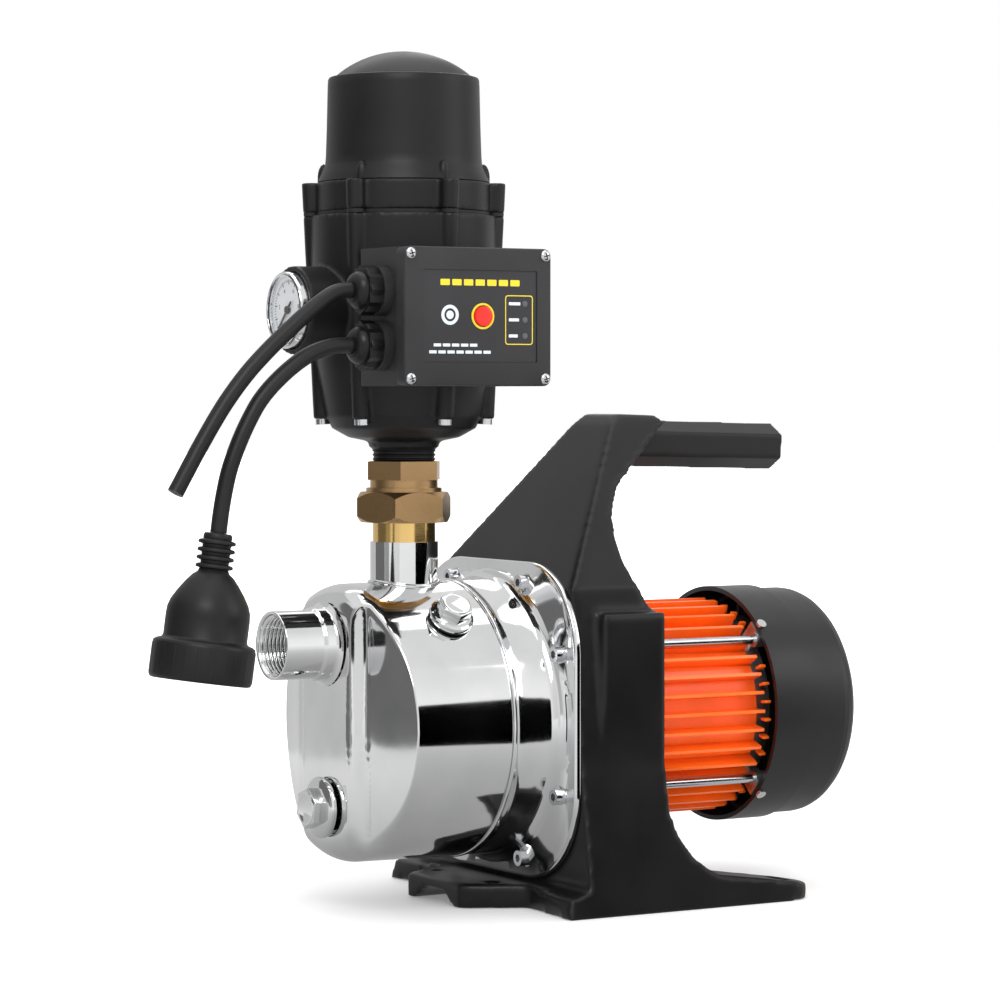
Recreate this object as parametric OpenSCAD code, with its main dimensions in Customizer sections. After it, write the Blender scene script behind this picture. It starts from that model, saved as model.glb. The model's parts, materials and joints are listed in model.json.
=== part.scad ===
// Shallow well jet pump: a stainless pump end, a finned motor, a moulded stand with a
// carrying handle, and an automatic pump control that stands on a brass union.
// Millimetres. X runs along the shaft towards the motor, Y away from the control box
// and Z up. The origin is the middle of the footprint, on the floor.

/* [Overall] */
// Height of the shaft above the floor
shaft_height = 101; // [95:1:120]
// Reach of the suction port's mouth ahead of the outlet
suction_reach = 81; // [76:1:110]
// Reach of the fan cover's back behind the outlet
cover_reach = 261; // [258:1:300]

/* [Pump casing] */
// Outside radius of the casing barrel
barrel_r = 75; // [70:0.5:80]
// Thickness of the stainless sheet
sheet = 1.5; // [1:0.1:3]
// Reach of the casing's front face ahead of the outlet
nose_reach = 50; // [45:1:56]
// Radius of the rounded shoulder round the front face
shoulder_r = 16; // [8:1:22]
// Half width of the flat band down the middle of the front face
nose_half_width = 28; // [24:1:34]
// Distance that the front face slopes back beside the band
nose_slope = 14; // [4:1:20]
// Seam between the two casing shells, behind the outlet
seam_x = 24; // [20:1:28]
// Front of the casing's square flange, behind the outlet
flange_x = 56; // [54:1:58]
// Thickness of the flange
flange_t = 4; // [2:0.5:6]
// Half of the flange's width across its flats
flange_half = 86; // [82:1:90]
// Radius of the flange's corners
flange_corner_r = 50; // [30:1:60]
// Radius of the circle that the casing screws lie on
screw_circle_r = 84; // [82:0.5:86]
// Angle from each flange corner to the screws on its two sides
screw_spread = 18; // [12:1:21]
// Height of the suction port above the shaft
suction_rise = 43; // [38:1:48]
// Outside radius of the suction port and of the outlet tube
port_r = 18.5; // [17.5:0.1:20]
// Radius of the wall between the threads of the ports
port_bore_r = 15.15; // [14:0.05:16]
// Depth of the suction port's thread
port_thread = 28; // [20:1:30]
// Top of the outlet tube above the shaft
outlet_top = 97; // [92:1:104]
// Drop of the drain plug below the shaft
drain_drop = 45; // [40:1:50]
// Angle of the filler plug from the top, towards the control box
filler_angle = 41; // [30:1:50]

/* [Hydraulics] */
// Width of the water passage from the impeller's rim to the casing
impeller_passage = 18.25; // [14:0.25:28]
// Radius of the jet nozzle's mouth
nozzle_r = 3.5; // [2:0.1:5]
// Radius of the venturi's throat
throat_r = 6; // [4:0.1:8]

/* [Motor] */
// Radius over the tips of the cooling fins
fin_tip_r = 60.5; // [56:0.5:62]
// Radius at the roots of the fins
fin_root_r = 52; // [50:0.5:54]
// Thickness of a fin
fin_t = 1.8; // [1:0.1:3]
// Number of fins
fin_count = 36; // [24:1:40]
// Front of the finned housing, behind the outlet
motor_front = 82; // [80:1:86]
// Back of the finned housing, behind the outlet
motor_back = 197; // [190:1:200]
// Radius of the stator
stator_r = 46; // [42:0.5:48]
// Radius of the rotor
rotor_r = 26.5; // [20:0.5:30]
// Length of the stator and the rotor
stack = 70; // [50:1:80]
// Radius of the shaft in its bearings
shaft_r = 7.5; // [6:0.1:8]
// Radius of a bearing's outer ring
bearing_r = 17.5; // [16:0.1:20]
// Width of a bearing
bearing_w = 11; // [8:0.5:12]
// Sideways place of the tie rods
rod_y = 45.5; // [44:0.5:46]
// Place of the tie rods above and below the shaft
rod_z = 39; // [37:0.5:40]
// Radius of a tie rod
rod_r = 2.5; // [2:0.1:3]
// Radius over the fan cover's front band
cover_r = 67; // [66:0.5:72]
// Front of the fan cover, behind the outlet
cover_front = 201; // [199:1:205]
// Radius of the cooling fan
fan_r = 56; // [40:1:60]

/* [Stand] */
// Half width of the stand at the floor
base_half = 98; // [94:1:110]
// Half width of the stand beside the motor
waist_half = 79; // [77:1:84]
// Half width of the column's top
head_half = 21; // [16:1:26]
// Height of the column's top above the shaft
head_top = 166; // [160:1:180]
// Reach of the feet behind the outlet
foot_reach = 206; // [196:1:215]
// Half width of a slot in the feet
slot_r = 3.5; // [3:0.1:4.5]
// Length of a slot in the feet
slot_length = 15; // [10:1:20]
// Sideways place of the rear slots
slot_y = 82; // [78:1:84]
// Place of the rear slots behind the outlet
slot_x = 190; // [180:1:194]
// Width across the flats of the handle's six-sided bar
handle_af = 23; // [18:1:26]
// Reach of the handle's end behind the outlet
handle_reach = 243; // [220:1:256]
// Droop of the handle in degrees
handle_droop = 1.5; // [0:0.5:3]

/* [Union] */
// Radius of the threads that join the union and the pump control
joint_r = 16; // [15:0.1:16.2]
// Width across the flats of the union nut
nut_af = 47; // [46:1:52]
// Width across the flats of the union's upper end
end_af = 37.5; // [37:0.5:42]

/* [Pump control] */
// Top of the union, where the control's thread starts, above the shaft
control_foot = 140.5; // [138:0.5:144]
// Outside radius of the control's lower housing
control_r = 50; // [48:0.5:52]
// Height of the split between the housings above the shaft
split_rise = 273; // [268:1:278]
// Thickness of the housings' walls
control_wall = 4; // [3:0.5:5]
// Radius of the spring cover at its foot
cap_r = 42.5; // [40:0.5:44]
// Top of the spring cover above the shaft
cap_top = 362; // [350:1:372]
// Radius of the circle that the housing screws' heads lie on
boss_circle_r = 44; // [42:0.5:46]
// Radius of the outlet's male thread
outlet_r = 16.6; // [15:0.05:17]
// Reach of the outlet stub behind the control's middle
outlet_reach = 88; // [80:1:100]
// Height of the outlet and the gauge above the shaft
side_port_rise = 221.5; // [219:0.5:226]
// Radius of the pressure gauge
gauge_r = 20.5; // [18:0.5:22]
// Travel of the flow valve
valve_travel = 8; // [4:1:9]

/* [Control box] */
// Width of the box
box_w = 84; // [80:1:90]
// Height of the box
box_h = 72; // [68:1:76]
// Depth of the box and its cover
box_d = 51; // [46:1:56]
// Reach of the cover's front towards the user
box_reach = 91.5; // [90:0.5:95]
// Bottom of the box above the shaft
box_rise = 181; // [178:1:184]
// Radius of the reset button
button_r = 5.2; // [4:0.1:6]
// Travel of the reset button
button_travel = 1.5; // [1:0.1:2]
// Radius of the cords
cord_r = 4.25; // [3:0.05:5]

/* [Hidden] */

// Small clearances shared by many fits
fit = 0.05;
loose = 0.3;
$fn = 96;

// Place of the outlet's axis along X, which centres the footprint on the origin
pump_x = (suction_reach - cover_reach) / 2;

// Casing
seam_r = barrel_r + 0.75;
flange_face = flange_x + flange_t;
inner_r = seam_r - sheet;
impeller_r = inner_r - impeller_passage;
hub_r = 6;
filler_flange_r = 12.3;
filler_af = 16.5;
drain_flange_r = 16.5;
drain_af = 20;
plug_shank_r = 6.5;
plug_washer_t = 1.6;
filler_x = 0;
gasket_t = 1;
plate_t = 3;
plate_r = 79;
plate_back = flange_face + gasket_t + plate_t;
casing_screw_r = 2.5;
casing_head_r = 4.25;
casing_washer_r = casing_head_r + 0.7;

// Hydraulics
impeller_front = 38;
impeller_t = 12;
eye_r = 16;
jet_front = -46;
jet_back = -28;
jet_r = 17;
venturi_r = 15;
diffuser_front = 31;
diffuser_r = impeller_r + 6;

// Motor
wall_back = plate_back + 6;
bearing_front = wall_back + 1;
shield_back = motor_back + 9;
stack_front = (motor_front + motor_back - stack) / 2;
rear_bearing_front = motor_back - 1;
bore_r = sqrt(rod_y * rod_y + rod_z * rod_z) + rod_r + 1.8;
rod_lug_r = 4.2;
rod_nut_af = 7;
shaft_nose = 20;
fan_front = shield_back + 7;
fan_back = fan_front + 26;
shaft_tail = fan_back + 4;
cover_wall = 2.5;
band_back = 229;

// Stand
panel_half = waist_half + 6;
panel_front = 75;
panel_back = 114.5;
panel_low = -20;
panel_high = 59;
stand_front = flange_face;
shoulder_rise = 73;
foot_t = 8;
tongue_t = shaft_height - flange_half - 2;
plate_front = 18;
front_hole_x = 38;
front_hole_y = 30;
arch_r = 30;
arch_drop = 22;
handle_front = 140;
handle_rise = 149.5;

// Union
tail_r = 17;
nut_low = outlet_top + 10.5;
nut_high = nut_low + 16.5;
collar_low = nut_low + 3.5;
collar_t = 3;
gasket_low = collar_low + collar_t;
end_low = gasket_low + 2;
end_thread_r = 20.6;
end_hex_low = control_foot - 10;

// Pump control
neck_low = control_foot + 7.5;
bowl_top = 181;
diaphragm_t = 2;
ring_r = 47;
ring_top = 291;
shoulder_z = cap_top - 14;
boss_r = 5;
boss_count = 6;
boss_low = 163.5;
boss_lean = 2.8;
housing_head_r = 4;
screw_length = split_rise - boss_low + 12;
seat_rise = 172;
valve_r = 11;
valve_t = 4;
side_bore_r = 12.5;
gauge_face = 73.5;
gauge_depth = 14;
gauge_boss_r = 23.5;
dial_level = gauge_depth - 4.4;
gauge_boss_reach = gauge_face - gauge_depth;
gauge_rim_reach = gauge_face - 5;

// Control box
box_left = -48.5;
cover_t = 9;
box_wall = 3;
cavity_back = boss_circle_r + boss_r + (box_rise + box_h - boss_low) * tan(boss_lean) + box_wall;
screw_inset = 3.8;
cover_lip = 2.2;
button_x = -4;
button_rise = 217.3;
gland_y = -65;
gland_r = 13;
gland_af = 22.5;
gland_rises = [230.5, 202];
gland_collar = 6;
gland_nut = 8;

// Place of the outlet's axis on the shaft for which the cords' points are chosen
cord_home = [-90, 0, 101];
// Routes of the two cords
supply_route = [
    [-152.5, -65, 331.5], [-160, -65, 331.5], [-167, -65, 330], [-174, -65, 326],
    [-181, -65, 321], [-188, -65, 315.5], [-195, -65, 309.5], [-202, -65, 303.5],
    [-209, -65, 297], [-216, -65, 290], [-223, -65, 282], [-230, -65, 273],
    [-236.5, -65, 263.5], [-242.5, -65, 254], [-248, -65, 245], [-253, -65, 236.5],
    [-258, -65, 228]
];
outlet_route = [
    [-152.5, -65, 303], [-160, -65, 303], [-168, -65, 302.5], [-176, -65, 300.5],
    [-184, -65, 297], [-191, -65, 292.5], [-198, -65, 287], [-205, -65, 280.5],
    [-211, -65, 273.5], [-216, -65, 265.5], [-220.5, -65, 257], [-224.5, -65, 248],
    [-228, -65, 238.5], [-230.5, -65, 228.5], [-232.5, -65, 218], [-234, -65, 207.5]
];
socket_top = outlet_route[len(outlet_route) - 1];
socket_lead = outlet_route[len(outlet_route) - 2];
socket_tilt = atan2(socket_lead[0] - socket_top[0], socket_lead[2] - socket_top[2]);

// ---------- shared shapes ----------

// Places children in the pump's own frame: the shaft at Z 0 and the outlet at X 0
module at_pump() {
    translate([pump_x, 0, shaft_height]) children();
}

// Solid of revolution about the shaft, from points of radius and X
module lathe_x(points) {
    rotate([0, 90, 0]) rotate_extrude() polygon(points);
}

// Solid of revolution about Z, from points of radius and height
module lathe_z(points) {
    rotate_extrude() polygon(points);
}

// Cylinder along X from x0 to x1
module rod_x(r, x0, x1) {
    translate([x0, 0, 0]) rotate([0, 90, 0]) cylinder(r = r, h = x1 - x0);
}

// Cylinder along Y from y0 to y1
module rod_y_axis(r, y0, y1) {
    translate([0, y0, 0]) rotate([-90, 0, 0]) cylinder(r = r, h = y1 - y0);
}

// Six-sided prism along Z, measured across its flats
module hex_z(af, h) {
    cylinder(r = af / sqrt(3), h = h, $fn = 6);
}

// Six-sided prism along X, with flats at its two sides
module hex_x(af, x0, x1) {
    translate([x0, 0, 0]) rotate([0, 90, 0]) hex_z(af, x1 - x0);
}

// Points of an arc about (cx, cy) from angle a0 to a1
function arc(cx, cy, r, a0, a1, steps) = [
    for (i = [0 : steps]) let (a = a0 + (a1 - a0) * i / steps)
        [cx + r * cos(a), cy + r * sin(a)]
];

// Unit vector
function unit(v) = v / norm(v);

// Direction of a path at point i
function heading(path, i) =
    unit(path[min(i + 1, len(path) - 1)] - path[max(i - 1, 0)]);

// One closed tube swept along a path, with its rings square to the path
module swept_tube(path, r, sides, across) {
    rings = len(path);
    points = [
        for (i = [0 : rings - 1])
            let (t = heading(path, i), u = unit(cross(across, t)), v = cross(t, u))
                for (k = [0 : sides - 1])
                    path[i] + r * (cos(360 * k / sides) * u + sin(360 * k / sides) * v)
    ];
    walls = [
        for (i = [0 : rings - 2]) for (k = [0 : sides - 1])
            let (n = (k + 1) % sides, a = i * sides, b = (i + 1) * sides)
                each [[a + k, b + k, b + n], [a + k, b + n, a + n]]
    ];
    first = [for (k = [0 : sides - 1]) k];
    last = [for (k = [sides - 1 : -1 : 0]) (rings - 1) * sides + k];
    polyhedron(points = points, faces = concat([first], walls, [last]), convexity = 8);
}

// A coil spring about Z with flat-lying ends
module coil(r, wire_r, low, high, turns, steps) {
    count = turns * steps;
    path = [
        for (i = [0 : count]) let (a = 360 * i / steps)
            [r * cos(a), r * sin(a), low + wire_r + (high - low - 2 * wire_r) * i / count]
    ];
    swept_tube(path, wire_r, 6, [0, 0, 1]);
}

// Children at each screw of the casing flange
module at_casing_screws() {
    for (corner = [0 : 3]) for (side = [-1, 1])
        rotate([corner * 90 + 45 + side * screw_spread, 0, 0])
            translate([0, 0, screw_circle_r]) children();
}

// Children at each tie rod
module at_rods() {
    for (y = [-rod_y, rod_y]) for (z = [-rod_z, rod_z])
        translate([0, y, z]) children();
}

// Children at each screw of the control's housings, from the head along the leaning shank
module at_bosses() {
    for (i = [0 : boss_count - 1]) rotate(30 + i * 360 / boss_count)
        translate([boss_circle_r, 0, boss_low]) rotate([0, boss_lean, 0]) children();
}

// Flat slab about the control's axis between two heights
module slab(low, high) {
    translate([-100, -100, low]) cube([200, 200, high - low]);
}

// Children at each corner screw of the control box
module at_box_corners() {
    for (x = [screw_inset - cover_lip, box_w + cover_lip - screw_inset])
        for (z = [screw_inset, box_h - screw_inset])
            translate([box_left + x, 0, box_rise + z]) children();
}

// ---------- pump end ----------

// Outline of the front shell, grown inwards by inset, as points of radius and X
function shell_outline(inset) =
    let (r = barrel_r - inset, corner = shoulder_r - inset, x = inset - nose_reach)
        concat(
            [[0, x]],
            arc(r - corner, x + corner, corner, -90, 0, 8),
            [[seam_r - inset, seam_x]],
            [[0, seam_x]]
        );

// Plan outline of the nose: a flat band with slopes beside it
module nose_plan(inset) {
    x = inset - nose_reach;
    half = nose_half_width - inset;
    wide = barrel_r + 10;
    polygon([
        [x, -half], [x, half], [x + nose_slope * 0.5, half + 6],
        [x + nose_slope, barrel_r * 0.75], [x + nose_slope + 8, wide], [seam_x, wide],
        [seam_x, -wide], [x + nose_slope + 8, -wide], [x + nose_slope, -barrel_r * 0.75],
        [x + nose_slope * 0.5, -half - 6]
    ]);
}

// Solid that the front shell is made of, before it is hollowed
module shell_solid(inset) {
    intersection() {
        lathe_x(shell_outline(inset));
        translate([0, 0, -barrel_r - 10]) linear_extrude(2 * barrel_r + 20) nose_plan(inset);
    }
}

// Children at the filler plug, with Z outwards along its axis
module at_filler() {
    translate([filler_x, 0, 0]) rotate([filler_angle, 0, 0]) children();
}

// Children at the drain plug, with Z outwards along its axis
module at_drain() {
    translate([-nose_reach, 0, -drain_drop]) rotate([0, -90, 0]) children();
}

module front_casing() color("silver") at_pump() difference() {
    shell_solid(0);
    shell_solid(sheet);
    rod_x(inner_r, seam_x - 2, seam_x + 1);
    translate([0, 0, suction_rise]) rod_x(port_r + fit, -nose_reach - 5, -nose_reach + 20);
    cylinder(r = port_r + fit, h = barrel_r + 10);
    at_filler() cylinder(r = plug_shank_r + 0.2, h = barrel_r + 10);
    at_drain() translate([0, 0, -10]) cylinder(r = plug_shank_r + 0.2, h = 20);
}

module suction_port() color("silver") at_pump() translate([0, 0, suction_rise]) difference() {
    rod_x(port_r, -suction_reach, jet_front);
    rod_x(port_bore_r, -suction_reach - 1, port_thread - suction_reach);
    rod_x(port_bore_r - 2, -suction_reach - 1, jet_front + 1);
}

module outlet_tube() color("silver") at_pump() difference() {
    translate([0, 0, barrel_r - 6]) cylinder(r = port_r, h = outlet_top - barrel_r + 6);
    cylinder(r = port_bore_r, h = outlet_top + 1);
}

// Flange plate built from bars and round corners, so that it stays exact
module flange_plate(half, corner, x0, x1) {
    reach = half - corner;
    for (y = [-reach, reach]) for (z = [-reach, reach])
        translate([0, y, z]) rod_x(corner, x0, x1);
    translate([x0, -half, -reach]) cube([x1 - x0, 2 * half, 2 * reach]);
    translate([x0, -reach, -half]) cube([x1 - x0, 2 * reach, 2 * half]);
}

module casing_flange() color("gainsboro") at_pump() difference() {
    union() {
        lathe_x(concat(
            [[inner_r - sheet, seam_x], [seam_r + 0.6, seam_x], [seam_r + 0.6, seam_x + 1.5],
             [seam_r - 0.2, seam_x + 2.2]],
            arc(seam_r + 9, flange_x - 10.5, 10, -180, -270, 6),
            [[seam_r + 9, flange_x + 1], [inner_r - sheet, flange_x + 1]]
        ));
        flange_plate(flange_half, flange_corner_r, flange_x, flange_face);
    }
    rod_x(inner_r, seam_x - 1, seam_x + 5);
    rod_x(inner_r - 0.2, seam_x - 1, flange_face + 1);
    at_casing_screws() {
        rod_x(casing_screw_r + loose, seam_x, flange_face + 1);
        rod_x(casing_washer_r + loose, seam_x, flange_x);
    }
}

module casing_screws() color("silver") at_pump() at_casing_screws() difference() {
    union() {
        rod_x(casing_screw_r, flange_x - 2, wall_back - 1);
        rod_x(casing_head_r, flange_x - 7, flange_x - 1.2);
        rod_x(casing_washer_r, flange_x - 1.2, flange_x);
    }
    hex_x(4, flange_x - 8, flange_x - 4);
}

module casing_seal() color("black") at_pump() difference() {
    rod_x(plate_r, flange_face, flange_face + gasket_t);
    rod_x(plate_r - 8, flange_face - 1, flange_face + gasket_t + 1);
}

// A plug with a flanged six-sided head, along Z from its seat
module screw_plug(shank, flange_r, af) {
    translate([0, 0, -shank]) cylinder(r = plug_shank_r, h = shank + plug_washer_t);
    translate([0, 0, plug_washer_t]) cylinder(r = flange_r, h = 2);
    translate([0, 0, plug_washer_t + 2]) hex_z(af, 7.5);
}

// Seat of the filler plug above the shaft
filler_seat = barrel_r + 1.6;

module filler_plug() color("silver") at_pump() at_filler()
    translate([0, 0, filler_seat]) screw_plug(7, filler_flange_r, filler_af);

module drain_plug() color("silver") at_pump() at_drain() screw_plug(7, drain_flange_r, drain_af);

module plug_seals() color("black") at_pump() {
    at_filler() translate([0, 0, filler_seat - 1]) plug_seal(filler_flange_r - 0.5, plug_washer_t + 1);
    at_drain() plug_seal(drain_flange_r - 0.5, plug_washer_t);
}

// One sealing washer along Z
module plug_seal(r, t) {
    difference() {
        cylinder(r = r, h = t);
        translate([0, 0, -1]) cylinder(r = plug_shank_r + fit, h = t + 2);
    }
}

// ---------- hydraulics ----------

// Upright slot outline that joins the suction port and the jet
module jet_slot(r, x0, x1) {
    rod_x(r, x0, x1);
    translate([0, 0, suction_rise]) rod_x(r, x0, x1);
    translate([x0, -r, 0]) cube([x1 - x0, 2 * r, suction_rise]);
}

module jet_body() color("dimgray") at_pump() difference() {
    jet_slot(jet_r, jet_front, jet_back);
    jet_slot(jet_r - 2.5, jet_front + 2.5, jet_back - 2.5);
    translate([0, 0, suction_rise]) rod_x(port_bore_r - 2, jet_front - 1, jet_front + 5);
    rod_x(9, jet_back - 5, jet_back + 1);
}

module jet_nozzle() color("goldenrod") at_pump() difference() {
    lathe_x([
        [0, jet_front + 2.5], [8, jet_front + 2.5], [8, jet_front + 6],
        [nozzle_r + 1.5, jet_back - 1], [0, jet_back - 1]
    ]);
    lathe_x([
        [0, jet_front + 4], [6, jet_front + 4], [nozzle_r, jet_back - 2],
        [nozzle_r, jet_back], [0, jet_back]
    ]);
}

module venturi_tube() color("dimgray") at_pump() lathe_x([
    [throat_r + 2, jet_back], [venturi_r, jet_back], [venturi_r, diffuser_front],
    [venturi_r - 2.5, diffuser_front], [throat_r, jet_back + 16], [throat_r, jet_back + 8]
]);

module diffuser() color("dimgray") at_pump() difference() {
    lathe_x([
        [venturi_r - 2.5, diffuser_front], [diffuser_r, diffuser_front],
        [diffuser_r, diffuser_front + 24], [diffuser_r - 3, diffuser_front + 24],
        [diffuser_r - 3, diffuser_front + 4], [venturi_r - 2.5, diffuser_front + 4]
    ]);
    for (i = [0 : 7]) rotate([i * 45, 0, 0])
        translate([diffuser_front + 12, -4, diffuser_r - 5]) cube([8, 8, 10]);
}

module impeller() color("burlywood") at_pump() difference() {
    union() {
        lathe_x([
            [hub_r, impeller_front + impeller_t - 3], [impeller_r, impeller_front + impeller_t - 3],
            [impeller_r, impeller_front + impeller_t], [hub_r, impeller_front + impeller_t]
        ]);
        lathe_x([
            [hub_r, impeller_front + 2], [hub_r + 5, impeller_front + 2],
            [hub_r + 5, impeller_front + impeller_t], [hub_r, impeller_front + impeller_t]
        ]);
        lathe_x([
            [eye_r, impeller_front], [impeller_r, impeller_front + 4],
            [impeller_r, impeller_front + 6], [eye_r, impeller_front + 2]
        ]);
        for (i = [0 : 5]) rotate([i * 60, 0, 0])
            translate([impeller_front + 3.5, -1, hub_r + 2]) rotate([-25, 0, 0])
                cube([impeller_t - 5, 2, impeller_r - hub_r - 8]);
    }
    rod_x(hub_r, impeller_front - 1, impeller_front + impeller_t + 1);
}

module impeller_nut() color("silver") at_pump() difference() {
    hex_x(17, impeller_front - 6, impeller_front + 2);
    rod_x(hub_r, impeller_front - 7, impeller_front + 3);
}

module seal_plate() color("gainsboro") at_pump() difference() {
    rod_x(plate_r, flange_face + gasket_t, plate_back);
    rod_x(14 + fit, flange_face, plate_back + 1);
}

module seal_seat() color("white") at_pump() difference() {
    rod_x(14, flange_face + gasket_t, plate_back);
    rod_x(shaft_r + 1, flange_face, plate_back + 1);
}

module seal_ring() color("dimgray") at_pump() difference() {
    rod_x(13, impeller_front + impeller_t, flange_face + gasket_t - loose);
    rod_x(shaft_r, impeller_front, plate_back);
}

// ---------- stand ----------

// Front view of the stand, drawn in Y and Z
module stand_front_view() {
    polygon([
        [-base_half, -shaft_height], [base_half, -shaft_height],
        [panel_half, panel_low], [waist_half - 3, shoulder_rise],
        [head_half, head_top - 6], [head_half - 5, head_top],
        [5 - head_half, head_top], [-head_half, head_top - 6],
        [3 - waist_half, shoulder_rise], [-panel_half, panel_low]
    ]);
}

// Side view of the stand, drawn in X and Z
module stand_side_view() {
    polygon(concat(
        [[45, -shaft_height], [47, -flange_half - 5], [stand_front, -flange_half - 1.5],
         [stand_front, shoulder_rise],
         [120, head_top - 6], [126, head_top], [153, head_top - 1], [157, head_top - 5]],
        arc(148, 92.5, 49, 130, 229, 14),
        [[panel_back, panel_low]],
        arc(162, -40, 47.5, 182, 248, 10),
        [[foot_reach, 0.5 - shaft_height + foot_t], [foot_reach, -shaft_height]]
    ));
}

// Plan of the base: a tongue ahead of the stand and two round-ended ears behind it
module base_plan() {
    ear = 16;
    polygon([
        [plate_front + 4, -32], [plate_front, -28], [plate_front, 28], [plate_front + 4, 32],
        [50, 48], [45, base_half], [slot_x, slot_y + ear], [slot_x, slot_y - ear],
        [152, slot_y - ear - 8], [152, -slot_y + ear + 8], [slot_x, ear - slot_y],
        [slot_x, -slot_y - ear], [45, -base_half], [50, -48]
    ]);
    for (y = [-slot_y, slot_y]) translate([slot_x, y]) circle(r = ear);
}

// One slot along Y through the base, at a place
module base_slot(x, y) {
    for (s = [-1, 1]) translate([x, y + s * (slot_length / 2 - slot_r), -shaft_height - 1])
        cylinder(r = slot_r, h = 60);
    translate([x - slot_r, y - slot_length / 2 + slot_r, -shaft_height - 1])
        cube([2 * slot_r, slot_length - 2 * slot_r, 60]);
}

module stand() color([0.13, 0.13, 0.13]) at_pump() difference() {
    union() {
        intersection() {
            rotate([90, 0, 90]) linear_extrude(300) stand_front_view();
            translate([0, 150, 0]) rotate([90, 0, 0]) linear_extrude(300) stand_side_view();
            translate([0, 0, -shaft_height]) linear_extrude(400) union() {
                base_plan();
                translate([stand_front, -base_half]) square([98, 2 * base_half]);
            }
        }
        translate([0, 0, -shaft_height]) linear_extrude(tongue_t) intersection() {
            base_plan();
            translate([0, -60]) square([70, 120]);
        }
        translate([panel_front, -panel_half, panel_low])
            cube([panel_back - panel_front, 2 * panel_half, panel_high - panel_low]);
    }
    rod_x(plate_r + 1, stand_front - 20, plate_back);
    rod_x(30, stand_front, wall_back + 1);
    rod_x(bore_r, wall_back, foot_reach);
    at_rods() rod_x(8, wall_back, motor_front + 6);
    at_casing_screws() rod_x(casing_screw_r + fit, stand_front - 1, wall_back + 4);
    translate([wall_back, -70, -shaft_height - 1]) cube([68, 140, shaft_height - bore_r - 1]);
    translate([0, 0, -shaft_height - arch_drop]) rod_x(arch_r, 0, 56);
    for (y = [-slot_y, slot_y]) base_slot(slot_x, y);
    for (y = [-front_hole_y, front_hole_y]) translate([front_hole_x, y, -shaft_height - 1])
        cylinder(r = slot_r, h = 30);
    translate([handle_front, 0, handle_rise]) rotate([0, handle_droop, 0])
        hex_x(handle_af + 0.2, 0, 60);
}

module handle() color([0.11, 0.11, 0.11]) at_pump()
    translate([handle_front, 0, handle_rise]) rotate([0, handle_droop, 0])
        hex_x(handle_af, 0.2, handle_reach - handle_front);

// ---------- motor ----------

module front_shield() color("darkgray") at_pump() difference() {
    union() {
        rod_x(fin_tip_r - 1, wall_back, motor_front);
        at_rods() rod_x(6.5, wall_back + 2, motor_front);
    }
    rod_x(bearing_r + fit, bearing_front, motor_front + 1);
    rod_x(shaft_r + 1, wall_back - 1, motor_front);
    difference() {
        rod_x(fin_root_r - 5, bearing_front + 5, motor_front + 1);
        rod_x(bearing_r + 4, bearing_front, motor_front + 2);
    }
    at_rods() rod_x(rod_r + fit, wall_back - 1, motor_front + 1);
}

// A ball bearing drawn as its two rings and the shields between them
module bearing(x0) {
    difference() {
        rod_x(bearing_r, x0, x0 + bearing_w);
        rod_x(shaft_r, x0 - 1, x0 + bearing_w + 1);
        difference() {
            rod_x(bearing_r - 3, x0 - 1, x0 + 0.6);
            rod_x(shaft_r + 3, x0 - 2, x0 + 1);
        }
    }
}

module front_bearing() color("silver") at_pump() bearing(bearing_front);
module rear_bearing() color("silver") at_pump() bearing(rear_bearing_front);

module motor_shaft() color("lightsteelblue") at_pump() {
    rod_x(hub_r - fit, shaft_nose, impeller_front + impeller_t);
    rod_x(shaft_r - fit, impeller_front + impeller_t, rear_bearing_front + bearing_w + 2);
    rod_x(shaft_r - 1.5, rear_bearing_front + bearing_w + 2, shaft_tail);
}

module rotor_core() color("gray") at_pump() difference() {
    union() {
        rod_x(rotor_r, stack_front, stack_front + stack);
        rod_x(rotor_r - 3, stack_front - 6, stack_front + stack + 6);
    }
    rod_x(shaft_r, stack_front - 7, stack_front + stack + 7);
}

module stator_core() color("dimgray") at_pump() difference() {
    rod_x(stator_r, stack_front, stack_front + stack);
    rod_x(rotor_r + 0.5, stack_front - 1, stack_front + stack + 1);
    for (i = [0 : 23]) rotate([i * 15, 0, 0])
        translate([stack_front - 1, -1.6, rotor_r + 3]) cube([stack + 2, 3.2, 10]);
}

module windings() color("chocolate") at_pump() {
    for (x = [stack_front - 13, stack_front + stack + 0.2]) difference() {
        rod_x(rotor_r + 15, x, x + 12.8);
        rod_x(rotor_r + 2, x - 1, x + 14);
    }
}

module motor_housing() color([0.98, 0.36, 0.08]) at_pump() difference() {
    union() {
        rod_x(fin_root_r, motor_front, motor_back);
        for (i = [0 : fin_count - 1]) rotate([i * 360 / fin_count, 0, 0])
            translate([motor_front, -fin_t / 2, fin_root_r - 2])
                cube([motor_back - motor_front, fin_t, fin_tip_r - fin_root_r + 2]);
    }
    rod_x(stator_r + fit, motor_front - 1, motor_back + 1);
    at_rods() rod_x(rod_r + 1, motor_front - 1, motor_back + 1);
}

module rear_shield() color("darkgray") at_pump() difference() {
    union() {
        rod_x(fin_root_r, motor_back, shield_back);
        at_rods() rod_x(rod_lug_r, motor_back + 2, shield_back);
        for (a = [45, 135, 225, 315]) rotate([a, 0, 0])
            translate([shield_back - 6, -5, 30]) cube([6, 10, cover_r - cover_wall - 30 - loose]);
    }
    rod_x(bearing_r + fit, motor_back - 1, rear_bearing_front + bearing_w);
    rod_x(shaft_r + 1, motor_back - 1, shield_back + 1);
    at_rods() rod_x(rod_r + fit, motor_back - 1, shield_back + 1);
    for (a = [45, 135, 225, 315]) rotate([a, 0, 0])
        translate([shield_back - 3, 0, cover_r - 12]) cylinder(r = 1.5, h = 20);
}

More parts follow.
